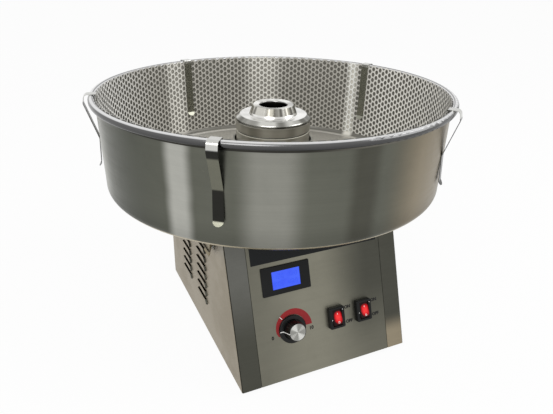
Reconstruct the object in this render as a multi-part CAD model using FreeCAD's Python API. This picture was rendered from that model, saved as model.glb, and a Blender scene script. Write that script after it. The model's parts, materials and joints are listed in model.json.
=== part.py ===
import FreeCAD, Part
import math
import os

from FreeCAD import Placement, Rotation, Vector

os.makedirs("parts", exist_ok=True)

# Electric candy floss machine, in millimetres and degrees.
# X points right, Y to the back and Z up. The origin lies on the bowl's axis, on the
# surface that the feet stand on.

# Clearances
running_gap = 0.05      # round pin or shaft in its hole, on the radius
moving_gap = 0.3        # between parts that move past each other
fit_gap = 0.3           # between sheet parts that slip into each other
seam_gap = 0.8          # open seam between two panels
slack = 0.01            # keeps a full round just short of meeting the next one
past = 1.0              # cutting bodies run past a face by this much

# Cabinet
foot_height = 12.0
cabinet_width = 326.0
cabinet_height = 270.0
front_edge_y = -250.0   # lower front edge
back_y = 170.0
panel_lean = 18.3       # control panel from the vertical
sheet = 1.2
bend_radius = 2.5
strip_width = 35.4      # front strip that wraps round from each side panel
rear_flange = 15.0
return_depth = 14.0     # folds behind the seams of the control panel
lip_depth = 13.0        # folded lips of base plate and deck
lip_clearance = 4.0     # ends of the seam folds stay this far from the lips

# Louvres in the side panels
louvre_columns = (-44.0, 52.5)
louvre_rows = 8
louvre_pitch = 18.3
louvre_first = 71.0     # lowest slit above the cabinet's bottom
louvre_length = 60.0
louvre_drop = 9.0       # height of a hood below its slit
louvre_reach = 3.0      # how far a hood stands out
louvre_taper = 6.0      # ends of a hood slope in by this much
louvre_wall = 1.0
louvre_flare = 2.0          # a hood's face is this much smaller than its foot
louvre_corner = 1.0
louvre_slit = 0.5           # half the height of the slit's mouth

# Feet
foot_radius = 15.0
foot_taper = 2.0
foot_inset = 32.0
foot_screw_radius = 2.5
foot_head_radius = 4.6
foot_head_height = 2.6
foot_head_room = 1.0
foot_nut = (8.0, 4.0)       # across the flats, height
thread_end = 1.0            # screws and bolts stand out of their nuts by this much

# Vents in base plate and rear panel
vent_width = 4.0
vent_length = 60.0
vent_pitch = 10.0
base_vents = 9
rear_vents = 8
rear_vent_height = 200.0

# Deck, spigot and seat for the bowl
seat_height = 5.6
seat_gap = 0.2
seat_inner_radius = 134.0
seat_width = 14.0
seat_bevel = 1.5
spigot_gap = 0.7
spigot_wall = 1.5
spigot_rise = 18.0
spigot_flange = 12.0

# Bowl
bowl_sheet = 1.0
bowl_top_radius = 310.3     # outside of the wall under the rim
bowl_bottom_radius = 306.3  # outside of the wall at the floor
bowl_depth = 168.3          # floor's underside to the top of the rim
bowl_corner = 14.0
rim_radius = 5.7            # outside of the rolled rim
rim_flat = 0.2              # short flats between the arcs of the rolled rim
collar_radius = 71.7        # inside of the collar round the head
collar_rise = 72.2          # above the bowl floor
collar_flange = 11.0
collar_sheet = 1.0
collar_lip = 2.0
collar_bend = 3.0

# Net inside the bowl
net_sheet = 0.8
net_gap = 0.4
net_drop = 0.6              # top edge below the top of the rim
net_lift = 9.0              # lower edge above the bowl floor
net_tuck = 1.0              # lower edge further in, for the bowl's corner

# Clips over the rim, angles from the front towards the right
clip_angles = {"front": -38.5, "left": -100.5, "back_left": -166.4, "back_right": 114.5, "right": 38.7}
clip_sheet = 1.0
clip_width = 16.4
clip_reach = 18.8           # outer bend from the bowl wall
clip_bend_drop = 14.0
clip_knee_drop = 75.0
clip_outer_length = 120.0
clip_inner_length = 115.0
clip_tail = 7.0
clip_flick = 4.5
clip_bend = 3.5
clip_corner = 1.5           # bend between the inner leg and the top
clip_shoulder = 2.5         # slope of the outer bend's upper part
clip_shoulder_bend = 7.0
clip_heel = 3.0             # lower end away from the wall

# Catches that hold the bowl down, one on each side panel
catch_y = -114.0
catch_drop = 41.0           # pin below the cabinet's top
catch_stand = 4.2           # pin from the side panel
catch_plate_height = 40.0
catch_sheet = 1.0
catch_pin_radius = 1.2
ear_radius = 2.9
rivet_radius = 2.0
rivet_height = 0.8
rivet_inset = 5.0
lever_width = 25.0
lever_length = 30.0
lever_cheek = 2.6           # radius of the cheeks round their holes
lever_web_drop = 2.5        # top of the web below the pin
lever_tail = 5.0
lever_tail_out = 2.5
loop_offset = 7.0           # loop pivot below the lever pivot, lever hanging
loop_length = 16.0
wire_radius = 1.0
wire_hook = 0.1             # bends at the loop's ends are this much wider than the wire's radius
loop_bend = 2.5             # bends at its foot, in wire radii
keeper_width = 15.0
keeper_foot = 8.0
keeper_lip = 4.0
keeper_bend = 1.0
catch_bend = 1.5

# Control panel, sizes on its slope: across from the middle, up from the lower edge
display_at = (-61.5, 177.0)
display_face = (89.6, 49.6)
display_window = (51.6, 30.8)
display_rise = 2.0
display_depth = 20.0
display_rebate = 2.8        # face beyond the case, all round
display_wall = 2.0
display_corner = 1.5
screen_recess = 0.5
screen_border = 2.5
screen_thick = 2.5
glass_gap = 0.1
board_thick = 1.6
board_inset = 2.0           # display board from the back of its case

knob_at = (-60.0, 87.0)
knob_height = 21.5
knob_lift = 1.0
skirt_radius = 24.8
skirt_thick = 2.6
knob_foot_radius = 18.4
knob_top_radius = 15.4
knob_rim = 1.0
knob_bevel = 0.3
knob_nut_room = 1.5
skirt_bevel = 0.8
skirt_rise = 0.6            # skirt slopes up to the flank
knob_cap_thick = 1.0
knob_cap_sink = 0.2
knob_cap_edge = 2.0
knob_cap_dish = 0.3
knob_flutes = 20
flute_radius = 1.6
flute_depth = 0.7
flute_foot = 1.2            # plain part of the flank below the flutes
flute_head = 1.3
pot_radius = 12.0
pot_depth = 11.0
pot_wall = 2.0
pot_tags = (14.0, 8.0, 1.0)
pot_tag_drop = 3.0
pot_bush_radius = 4.5
pot_bush_length = 6.5
pot_shaft_radius = 3.0
pot_shaft_length = 17.0
nut_width = 12.0
nut_thick = 2.2

switch_names = ("heat", "motor")
switch_first = (24.5, 87.3)
switch_pitch = 55.5
switch_face = (29.8, 38.6)
switch_rise = 9.0
switch_draft = 0.9
switch_corner = 2.5
switch_case = (26.6, 34.4)
switch_case_corner = 1.0
switch_depth = 24.0
pocket_depth = 11.0
rocker_width = 18.0
rocker_radius = 15.0
rocker_pivot = 3.0          # above the panel
rocker_dip = 4.6            # middle of the rocker above its pivot
rocker_corner = 24.5        # upper corners, seen from the pivot
rocker_under = -18.0        # lower ends of its round ends
rocker_keel = 6.0
rocker_swing = 12.0         # to each side of the middle
trunnion_radius = 1.5
trunnion_length = 1.6
blade = (6.3, 0.8, 8.0)
blade_pitch = 10.0

# Spinning head
head_radius = 68.5
head_bottom = 51.8          # above the deck
head_wall = 2.0
head_floor = 3.0
drum_height = 45.0
drum_corner = 4.0
drum_bevel = 0.5
slot_height = 2.4
cap_skirt = 16.2
shoulder_step = 1.2
shoulder_slope = 1.0
shoulder_height = 10.6
shoulder_radius = 61.0      # edge of the flat top round the neck
shoulder_drop = 5.4         # outer edge below the flat top
shoulder_round = 2.5
cap_sheet = 1.6
neck_foot_radius = 43.8
neck_top_radius = 36.2
neck_height = 18.0
mouth_radius = 25.8
mouth_depth = 14.0
mouth_taper = 2.0
lip_round = 2.6
lip_fall = 1.5              # lip's inner edge below its crest
hub_radius = 14.0
hub_height = 12.0
hub_bevel = 1.0
stud_ring = 53.0
stud_radius = 2.5
stud_count = 3
ring_inner = 56.5
ring_outer = 65.6
ring_height = 5.0
ribbon_pleats = 48
ribbon_inner = 57.5
ribbon_outer = 61.0
ribbon_sheet = 0.6
ribbon_height = 30.0
screen_radius = 65.0
screen_sheet = 0.8
screen_height = 48.0

# Drive
shaft_radius = 6.0
shaft_nut_width = 17.0
shaft_nut_height = 6.0
shaft_end = 3.0
shaft_inset = 2.0           # lower end inside the motor's cap
shaft_bevel = 0.8
bearing_radius = 14.0
bearing_height = 8.0
housing_radius = 19.0
housing_flange_radius = 32.0
housing_flange = 4.0
housing_height = 20.0
housing_floor = 3.0
housing_shaft_gap = 1.5
housing_bevel = 1.0
motor_radius = 38.0
motor_wall = 2.0
motor_length = 90.0
motor_cap = 12.0
motor_bevel = 1.5
motor_shaft_gap = 1.0
stator_radius = 31.5
rotor_radius = 30.8
stator_inset = 8.0
bolt_radius = 2.0
bolt_ring = 34.0
bolt_count = 4
bolt_nut = (7.0, 3.0)       # across the flats, height
bracket_size = (150.0, 110.0)
bracket_corner = 8.0
bracket_bearing_gap = 2.0
bracket_sheet = 2.5
bracket_drop = 110.0        # plate's underside below the deck plate
standoff_radius = 5.0
standoff_inset = 9.0
sleeve_radius = 12.0
sleeve_height = 40.0
sleeve_lift = 18.0          # above the bracket plate
ring_radius = 16.0
slip_ring_height = 8.0
slip_ring_pitch = 20.0
brush_size = (14.0, 6.0, 6.0)
brush_out = 4.0             # free length of a brush in front of its holder
brush_wall = 3.0
brush_spring_room = 10.0

# Electrics inside and at the back
card_size = (92.0, 66.0)
card_inset = (75.0, 110.0)  # from the right side and the back
post_height = 8.0
post_radius = 3.0
post_inset = 5.0
heat_sink = (40.0, 24.0, 26.0)
heat_sink_offset = (20.0, 12.0)     # left of the card's middle, and in front of it
heat_sink_fins = 6
heat_sink_fin = 1.5
heat_sink_base = 3.0
capacitor_radius = 9.0
capacitor_height = 24.0
capacitor_offset = (26.0, 16.0)
terminal_block = (64.0, 18.0, 16.0)
terminal_inset = (73.0, 110.0)  # from the left side and the back
terminal_wall = 1.5
terminal_well = 5.0
terminal_ways = 6
gland_inset = (53.0, 46.0)  # from the left side and the cabinet's bottom
gland_bore = 4.2
gland_thread_radius = 7.8
gland_hex = 22.0
gland_flange = 5.0
gland_nut = 4.0
gland_dome_length = 16.0
gland_dome = (2.0, 1.5, 3.0)    # foot and top beyond the thread, height of the crown
gland_lip = 2.0
gland_tail = 10.0
fuse_inset = (93.0, 46.0)
fuse_radius = 6.0
fuse_cap_radius = 8.5
fuse_cap_length = 9.0
fuse_body_length = 28.0
fuse_bevel = 1.0
fuse_step = 1.5
fuse_flange = (3.0, 3.5)    # flange's edge, and where the cap's barrel starts
fuse_slot = (1.4, 1.2)

# Screws that hold the panels
screw_radius = 1.9
screw_head_radius = 3.8
screw_head_height = 1.8
screw_length = 8.0
screw_rows = 3
deck_screw_inset = 7.5

# Places that follow from the sizes
lean = math.radians(panel_lean)
half_width = cabinet_width / 2
cabinet_bottom = foot_height
cabinet_top = foot_height + cabinet_height
panel_length = cabinet_height / math.cos(lean)
seam_x = half_width - strip_width
rear_inset = 2 * sheet + fit_gap
side_inset = sheet + fit_gap
deck_under = cabinet_top - sheet
bowl_bottom = cabinet_top + seat_height + seat_gap
bowl_floor = bowl_bottom + bowl_sheet
rim_top = bowl_bottom + bowl_depth
rim_centre_z = rim_top - rim_radius
collar_top = bowl_floor + collar_rise
head_base_z = cabinet_top + head_bottom
slot_z = head_base_z + drum_height
cap_z = slot_z + slot_height
shoulder_z = cap_z + cap_skirt
head_top_z = shoulder_z + shoulder_height
neck_top_z = head_top_z + neck_height
bracket_z = deck_under - bracket_drop
motor_top = bracket_z
motor_bottom = motor_top - motor_length
hub_top = head_base_z + hub_height
card_at = (half_width - card_inset[0], back_y - card_inset[1])
terminal_at = (terminal_inset[0] - half_width, back_y - terminal_inset[1])
gland_at = (gland_inset[0] - half_width, cabinet_bottom + gland_inset[1])
fuse_at = (fuse_inset[0] - half_width, cabinet_bottom + fuse_inset[1])
shaft_top = hub_top + shaft_nut_height + shaft_end


def in_rz(a, b):
    return Vector(a, 0, b)


def in_xy(a, b):
    return Vector(a, b, 0)


def in_yz(a, b):
    return Vector(0, a, b)


def outline(corners, lay):
    """Closed face through corners (a, b, radius), rounded where the radius is positive.

    A negative radius cuts the corner straight, that far along both sides.
    """
    points = [Vector(a, b, 0) for a, b, radius in corners]
    count = len(points)
    starts, ends, arcs = [], [], []
    for i, (a, b, radius) in enumerate(corners):
        here = points[i]
        back = (points[i - 1] - here).normalize()
        ahead = (points[(i + 1) % count] - here).normalize()
        if radius <= 0:
            starts.append(here - back * radius)
            ends.append(here - ahead * radius)
            arcs.append(None)
            continue
        half = back.getAngle(ahead) / 2
        cut = radius / math.tan(half)
        reach = radius / math.sin(half) - radius
        starts.append(here + back * cut)
        ends.append(here + ahead * cut)
        arcs.append(here + (back + ahead).normalize() * reach)
    edges = []
    for i in range(count):
        before = ends[i - 1]
        if before.distanceToPoint(starts[i]) > 1e-6:
            edges.append(Part.makeLine(lay(before.x, before.y), lay(starts[i].x, starts[i].y)))
        if arcs[i] is not None:
            three = [lay(p.x, p.y) for p in (starts[i], arcs[i], ends[i])]
            edges.append(Part.Arc(*three).toShape())
        elif corners[i][2] < 0:
            edges.append(Part.makeLine(lay(starts[i].x, starts[i].y), lay(ends[i].x, ends[i].y)))
    return Part.Face(Part.Wire(edges))


def sheet_outline(path, thick):
    """Corners of a bent strip whose middle line is the open path (a, b, radius)."""
    points = [Vector(a, b, 0) for a, b, radius in path]
    last = len(points) - 1
    left, right = [], []
    for i, (a, b, radius) in enumerate(path):
        into = (points[i] - points[i - 1]).normalize() if i > 0 else None
        out = (points[i + 1] - points[i]).normalize() if i < last else None
        first, second = into or out, out or into
        normals = Vector(-first.y - second.y, first.x + second.x, 0).normalize()
        turn = first.x * second.y - first.y * second.x
        share = thick / 2 / math.cos(first.getAngle(second) / 2)
        sign = 1 if turn > 0 else -1
        inner, outer = max(radius - thick / 2, 0), radius + thick / 2 if radius else 0
        left_radius, right_radius = (inner, outer) if sign > 0 else (outer, inner)
        left.append((a + normals.x * share, b + normals.y * share, left_radius))
        right.append((a - normals.x * share, b - normals.y * share, right_radius))
    return left + right[::-1]


def turned(corners, start=0, sweep=360):
    """Solid of revolution about Z of an outline in the radius-height plane."""
    shape = outline(corners, in_rz).revolve(Vector(0, 0, 0), Vector(0, 0, 1), sweep)
    shape.rotate(Vector(0, 0, 0), Vector(0, 0, 1), start)
    return shape


def ring(inner, outer, low, high):
    return turned([(inner, low, 0), (outer, low, 0), (outer, high, 0), (inner, high, 0)])


def disc(radius, low, high, x=0, y=0):
    return Part.makeCylinder(radius, high - low, Vector(x, y, low))


def rod_y(radius, low, high, x, z):
    return Part.makeCylinder(radius, high - low, Vector(x, low, z), Vector(0, 1, 0))


def rod_x(radius, low, high, y, z):
    return Part.makeCylinder(radius, high - low, Vector(low, y, z), Vector(1, 0, 0))


def block(x, y, z):
    """Box between three pairs of limits."""
    return Part.makeBox(x[1] - x[0], y[1] - y[0], z[1] - z[0], Vector(x[0], y[0], z[0]))


def centred(at, size, low, high):
    """Upright box round a point in XY."""
    across, along = size[0] / 2, size[1] / 2
    return block((at[0] - across, at[0] + across), (at[1] - along, at[1] + along), (low, high))


def plate(at, size, low, high, corner):
    """Upright plate with rounded corners round a point in XY."""
    across, along = size[0] / 2, size[1] / 2
    signs = ((-1, -1), (1, -1), (1, 1), (-1, 1))
    corners = [(at[0] + a * across, at[1] + b * along, corner) for a, b in signs]
    face = outline(corners, in_xy).translate(Vector(0, 0, low))
    return face.extrude(Vector(0, 0, high - low))


def hexagon(width, low, high, x=0, y=0):
    """Upright hexagonal prism, width across the flats."""
    radius = width / math.sqrt(3)
    turns = [math.radians(60 * i) for i in range(6)]
    corners = [(x + radius * math.cos(t), y + radius * math.sin(t), 0) for t in turns]
    face = outline(corners, in_xy).translate(Vector(0, 0, low))
    return face.extrude(Vector(0, 0, high - low))


def fused(shapes):
    first, *rest = shapes
    return first.multiFuse(rest).removeSplitter() if rest else first


def mirrored(shape):
    return shape.mirror(Vector(0, 0, 0), Vector(1, 0, 0))


def on_panel(shape):
    """Moves a shape from the control panel's own axes (across, up its slope, out) into place."""
    spot = Placement(Vector(0, front_edge_y, cabinet_bottom), Rotation(Vector(1, 0, 0), 90 - panel_lean))
    shape = shape.copy()
    shape.Placement = spot.multiply(shape.Placement)
    return shape


def front_y(z, inset):
    return front_edge_y + (z - cabinet_bottom) * math.tan(lean) + inset / math.cos(lean)


def wedge(inset, back_inset, low, high, round_radius=0.0):
    """The cabinet's block, each wall moved in by inset, between two heights."""
    back = back_y - back_inset
    corners = ((front_y(low, inset), low), (back, low), (back, high), (front_y(high, inset), high))
    face = outline([(y, z, 0) for y, z in corners], in_yz)
    width = cabinet_width - 2 * inset
    solid = face.translate(Vector(-width / 2, 0, 0)).extrude(Vector(width, 0, 0))
    if round_radius > 0:
        upright = [e for e in solid.Edges if abs(e.tangentAt(e.FirstParameter).z) > 0.5]
        solid = solid.makeFillet(round_radius, upright)
    return solid


def cabinet_walls():
    outer = wedge(0, 0, cabinet_bottom, cabinet_top, bend_radius)
    inner = wedge(sheet, sheet, cabinet_bottom - sheet, cabinet_top + sheet, bend_radius - sheet)
    return outer.cut(inner)


def seam_fold(edge_x, side):
    """Fold behind one of the control panel's seams, from its face at edge_x towards side."""
    ends = (lip_depth + lip_clearance) / math.cos(lean)
    far = edge_x + side * sheet
    limits = (min(edge_x, far), max(edge_x, far))
    return on_panel(block(limits, (ends, panel_length - ends), (-return_depth, -sheet)))


def louvre_outline(inset, shrink, lay_x):
    """One closed wire of a louvre hood, at lay_x outside the panel."""
    end = louvre_length / 2 - inset - shrink
    low = -louvre_drop + inset + shrink / 2
    top = end - louvre_taper
    corners = [(-end, -louvre_taper), (-top, 0), (top, 0), (end, -louvre_taper)]
    corners += [(end - louvre_corner, low), (louvre_corner - end, low)]
    points = [Vector(lay_x, y, z) for y, z in corners]
    return Part.makePolygon(points + points[:1])


def louvre_parts():
    """Hood of a louvre and the hollow inside it, on a panel whose face is at x = 0, facing -X."""
    face = louvre_outline(0, louvre_flare, -louvre_reach)
    hood = Part.makeLoft([louvre_outline(0, 0, 0), face], True, True)
    roof = louvre_wall - louvre_reach
    shrink = louvre_flare * (1 - louvre_wall / louvre_reach)
    foot = louvre_outline(louvre_wall, 0, 0)
    hollow = Part.makeLoft([foot, louvre_outline(louvre_wall, shrink, roof)], True, True)
    hole = Part.Face(foot).extrude(Vector(sheet, 0, 0))
    half = louvre_length / 2 - louvre_taper
    slit = block((roof, 0), (-half, half), (-louvre_slit, louvre_slit))
    return hood, hollow.fuse(hole).fuse(slit)


def louvre_places():
    for y in louvre_columns:
        for row in range(louvre_rows):
            yield Vector(-half_width, y, cabinet_bottom + louvre_first + row * louvre_pitch)


def moved(shape, by):
    shape = shape.copy()
    shape.translate(by)
    return shape


def rear_screw_heights():
    step = (cabinet_height - 2 * lip_depth - 2 * deck_screw_inset) / (screw_rows - 1)
    first = cabinet_bottom + lip_depth + deck_screw_inset
    return [first + i * step for i in range(screw_rows)]


def side_panel():
    """Left side panel with its front strip, its rear flange and its louvres."""
    edge = seam_x + seam_gap / 2
    low, high = cabinet_bottom, cabinet_top
    front = block((-half_width, -edge), (front_edge_y, 0), (low, high))
    back = block((-half_width, rear_flange - half_width), (0, back_y), (low, high))
    panel = fused([cabinet_walls().common(front), cabinet_walls().common(back), seam_fold(-edge, -1)])
    hood, hollow = louvre_parts()
    places = list(louvre_places())
    panel = panel.multiFuse([moved(hood, at) for at in places])
    x = rear_flange / 2 - half_width
    holes = [rod_y(screw_radius, back_y - 2 * sheet, back_y + past, x, z) for z in rear_screw_heights()]
    return panel.cut(Part.makeCompound([moved(hollow, at) for at in places] + holes))


def control_panel():
    edge = seam_x - seam_gap / 2
    front = block((-edge, edge), (front_edge_y, 0), (cabinet_bottom, cabinet_top))
    panel = fused([cabinet_walls().common(front), seam_fold(-edge, 1), seam_fold(edge, -1)])
    case = [size - 2 * display_rebate + 2 * fit_gap for size in display_face]
    cuts = [centred(display_at, case, -2 * sheet, sheet)]
    cuts.append(disc(pot_bush_radius + fit_gap, -2 * sheet, sheet, *knob_at))
    for at in switch_places():
        size = [side + 2 * fit_gap for side in switch_case]
        cuts.append(centred(at, size, -2 * sheet, sheet))
    return panel.cut(on_panel(Part.makeCompound(cuts)))


def foot_places():
    x = half_width - foot_inset
    return [(a, y) for a in (-x, x) for y in (front_edge_y + foot_inset, back_y - foot_inset)]


def vent_slots(count, length):
    """Row of slots in XY, along Y, centred on the origin and 3 sheets tall."""
    first = -(count - 1) / 2 * vent_pitch
    rounding = vent_width / 2 - slack
    size, limits = (vent_width, length), (-1.5 * sheet, 1.5 * sheet)
    return [plate((first + i * vent_pitch, 0), size, *limits, rounding) for i in range(count)]


def base_plate():
    low, high = cabinet_bottom, cabinet_bottom + lip_depth
    pan = wedge(side_inset, rear_inset, low, high, bend_radius - sheet)
    pan = pan.cut(wedge(side_inset + sheet, rear_inset + sheet, low + sheet, high + past))
    cuts = [moved(slot, Vector(0, 0, low + sheet / 2)) for slot in vent_slots(base_vents, vent_length)]
    cuts += [disc(foot_screw_radius, low - past, low + 2 * sheet, x, y) for x, y in foot_places()]
    return pan.cut(Part.makeCompound(cuts))


def standoff_places():
    x, y = [side / 2 - standoff_inset for side in bracket_size]
    return [(a, b) for a in (-x, x) for b in (-y, y)]


def top_deck():
    low, high = cabinet_top - lip_depth, cabinet_top
    pan = wedge(side_inset, rear_inset, low, high, bend_radius - sheet)
    pan = pan.cut(wedge(side_inset + sheet, rear_inset + sheet, low - past, deck_under))
    cuts = [disc(housing_radius + fit_gap, deck_under - past, cabinet_top + past)]
    cuts += [disc(screw_radius, deck_under - past, cabinet_top + past, x, y) for x, y in standoff_places()]
    return pan.cut(Part.makeCompound(cuts))


def rear_panel():
    width = half_width - bend_radius - fit_gap
    shape = block((-width, width), (back_y - 2 * sheet, back_y - sheet), (cabinet_bottom, cabinet_top))
    slots = Part.makeCompound(vent_slots(rear_vents, vent_length))
    slots.rotate(Vector(0, 0, 0), Vector(1, 0, 0), 90)
    slots.translate(Vector(0, back_y - 1.5 * sheet, rear_vent_height))
    through = (back_y - 3 * sheet, back_y)
    holes = [rod_y(gland_thread_radius + running_gap, *through, *gland_at)]
    holes.append(rod_y(fuse_radius + running_gap, *through, *fuse_at))
    for x in (rear_flange / 2 - half_width, half_width - rear_flange / 2):
        holes += [rod_y(screw_radius, *through, x, z) for z in rear_screw_heights()]
    return shape.cut(Part.makeCompound([slots] + holes))


def foot(x, y):
    low = foot_radius - foot_taper
    recess = foot_head_height + foot_head_room
    room = foot_head_radius + foot_head_room
    profile = [(0, recess, 0), (room, recess, 0), (room, 0, 0), (low, 0, -foot_taper / 2)]
    profile += [(foot_radius, foot_height, 0), (0, foot_height, 0)]
    hole = disc(foot_screw_radius, 0, foot_height + past)
    return moved(turned(profile).cut(hole), Vector(x, y, 0))


def foot_screw(x, y):
    """Pan-head screw from below, with its nut on the base plate."""
    head_top = foot_head_height + foot_head_room
    nut_low = cabinet_bottom + sheet
    nut_high = nut_low + foot_nut[1]
    head = disc(foot_head_radius, foot_head_room, head_top, x, y)
    shank = disc(foot_screw_radius, head_top, nut_high + thread_end, x, y)
    return fused([head, shank, hexagon(foot_nut[0], nut_low, nut_high, x, y)])


def deck_spigot():
    """Flanged tube on the deck that the bowl's collar slips over."""
    outer = collar_radius - spigot_gap
    wall, low = outer - spigot_wall / 2, cabinet_top + spigot_wall / 2
    path = [(outer - spigot_flange, low, 0), (wall, low, 0), (wall, bowl_floor + spigot_rise, 0)]
    return turned(sheet_outline(path, spigot_wall))


def bowl_seat():
    outer = seat_inner_radius + seat_width
    low, high = cabinet_top, cabinet_top + seat_height
    profile = [(seat_inner_radius, low, 0), (outer, low, 0)]
    profile += [(outer, high, -seat_bevel), (seat_inner_radius, high, -seat_bevel)]
    return turned(profile)


def bowl():
    """Floor, wall and rolled rim of the bowl as one bent sheet."""
    middle = bowl_bottom + bowl_sheet / 2
    top = rim_top - bowl_sheet / 2
    curl = rim_radius - bowl_sheet / 2
    bend = curl - rim_flat
    low_radius, high_radius = bowl_bottom_radius - bowl_sheet / 2, bowl_top_radius - bowl_sheet / 2
    path = [(collar_radius, middle, 0), (low_radius, middle, bowl_corner), (high_radius, top, bend)]
    path += [(high_radius + 2 * curl, top, bend), (high_radius + 2 * curl, top - 2 * curl, bend)]
    path.append((high_radius + curl, top - 2 * curl, 0))
    return turned(sheet_outline(path, bowl_sheet))


def bowl_collar():
    """Upturned collar round the head, its foot flange welded to the bowl floor."""
    half = collar_sheet / 2
    wall, low, top = collar_radius + half, bowl_floor + half, collar_top - half
    path = [(collar_radius + collar_flange, low, 0), (wall, low, collar_bend), (wall, top, 0)]
    path.append((wall + collar_lip, top, 0))
    return turned(sheet_outline(path, collar_sheet))


def wall_radius(z):
    """Outside of the bowl's wall at a height."""
    share = (z - bowl_bottom) / (rim_top - bowl_bottom)
    return bowl_bottom_radius + share * (bowl_top_radius - bowl_bottom_radius)


def net_radius(z):
    """Outside of the net at a height; its lower edge stands in the bowl's corner."""
    low, high = bowl_floor + net_lift, rim_top - net_drop
    low_radius = wall_radius(low) - bowl_sheet - net_gap - net_tuck
    high_radius = wall_radius(high) - bowl_sheet - net_gap
    return low_radius + (z - low) / (high - low) * (high_radius - low_radius)


def bowl_net():
    low, high = bowl_floor + net_lift, rim_top - net_drop
    profile = [(net_radius(low), low, 0), (net_radius(high), high, 0)]
    profile += [(net_radius(high) - net_sheet, high, 0), (net_radius(low) - net_sheet, low, 0)]
    return turned(profile)


def rim_clip(angle):
    """Spring strip bent over the rim and the net, at an angle from the front."""
    half = clip_sheet / 2
    crest = rim_top + moving_gap + half
    inner_low = rim_top - clip_inner_length
    inside = net_radius(inner_low) - net_sheet - moving_gap - half
    inside_top = net_radius(rim_top) - net_sheet - moving_gap - half
    bend_z, knee_z = rim_top - clip_bend_drop, rim_top - clip_knee_drop
    outer_low = rim_top - clip_outer_length
    knee = wall_radius(knee_z) + moving_gap + half
    heel = wall_radius(outer_low) + moving_gap + half + clip_heel
    out = bowl_top_radius + clip_reach
    path = [(inside - clip_flick, inner_low - clip_tail, 0), (inside, inner_low, clip_bend)]
    path += [(inside_top, crest, clip_corner), (out - clip_shoulder, crest, clip_shoulder_bend)]
    path += [(out, bend_z, clip_shoulder_bend), (knee, knee_z, clip_bend), (heel, outer_low, clip_bend)]
    path.append((heel + clip_flick, outer_low - clip_tail, 0))
    face = outline(sheet_outline(path, clip_sheet), in_rz)
    strip = face.translate(Vector(0, -clip_width / 2, 0)).extrude(Vector(0, clip_width, 0))
    corners = [e for e in strip.Edges if abs(e.Length - clip_sheet) < slack]
    strip = strip.makeFillet(clip_width / 2 - slack, corners)
    return strip.rotate(Vector(0, 0, 0), Vector(0, 0, 1), angle - 90)


def catch_pin():
    """Centre of the left catch's pin."""
    return -half_width - catch_stand, cabinet_top - catch_drop


def web_reach():
    """Outer face of the lever's web from the pin's centre."""
    return ear_radius + moving_gap + catch_sheet


def catch_base():
    """Left catch's channel on the side panel, with its rivets, and the pin in its ears."""
    x, z = catch_pin()
    face = -half_width - catch_sheet
    wide = lever_width / 2 - catch_sheet - moving_gap
    tall = catch_plate_height / 2
    shell = block((face, -half_width), (catch_y - wide, catch_y + wide), (z - tall, z + tall))
    ear_end, rounding = x - ear_radius, ear_radius - slack
    corners = [(face, z - ear_radius, 0), (face, z + ear_radius, 0)]
    corners += [(ear_end, z + ear_radius, rounding), (ear_end, z - ear_radius, rounding)]
    ear = outline(corners, in_rz)
    starts = (catch_y - wide, catch_y + wide - catch_sheet)
    ears = [ear.copy().translate(Vector(0, y, 0)).extrude(Vector(0, catch_sheet, 0)) for y in starts]
    ends = (z - tall + rivet_inset, z + tall - rivet_inset)
    rivets = [rod_x(rivet_radius, face - rivet_height, face, catch_y, end) for end in ends]
    reach = lever_width / 2
    pin = rod_y(catch_pin_radius, catch_y - reach, catch_y + reach, x, z)
    return [fused([shell] + ears + rivets).cut(pin), pin]


def catch_lever():
    """Left catch's lever: a channel that hangs from the pin, its tail bent outwards."""
    x, z = catch_pin()
    half = lever_width / 2
    web = x - web_reach() + catch_sheet / 2
    path = [(web, z - lever_web_drop, 0), (web, z - lever_length + lever_tail, catch_bend)]
    path.append((web - lever_tail_out, z - lever_length, 0))
    face = outline(sheet_outline(path, catch_sheet), in_rz)
    channel = face.translate(Vector(0, catch_y - half, 0)).extrude(Vector(0, lever_width, 0))
    cheek, low = lever_cheek, z - loop_offset
    rounding = cheek - slack
    corners = [(x + cheek, z + cheek, rounding), (x - cheek, z + cheek, rounding)]
    corners += [(web, z - lever_web_drop, 0), (web, low - 3 * cheek, 0), (x + cheek, low - cheek, rounding)]
    side = outline(corners, in_rz)
    starts = (catch_y - half, catch_y + half - catch_sheet)
    cheeks = [side.copy().translate(Vector(0, y, 0)).extrude(Vector(0, catch_sheet, 0)) for y in starts]
    limits = (catch_y - half - past, catch_y + half + past)
    hole = rod_y(catch_pin_radius + running_gap, *limits, x, z)
    loop_hole = rod_y(wire_radius + running_gap, *limits, x, low)
    return fused([channel] + cheeks).cut(Part.makeCompound([hole, loop_hole]))


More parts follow.
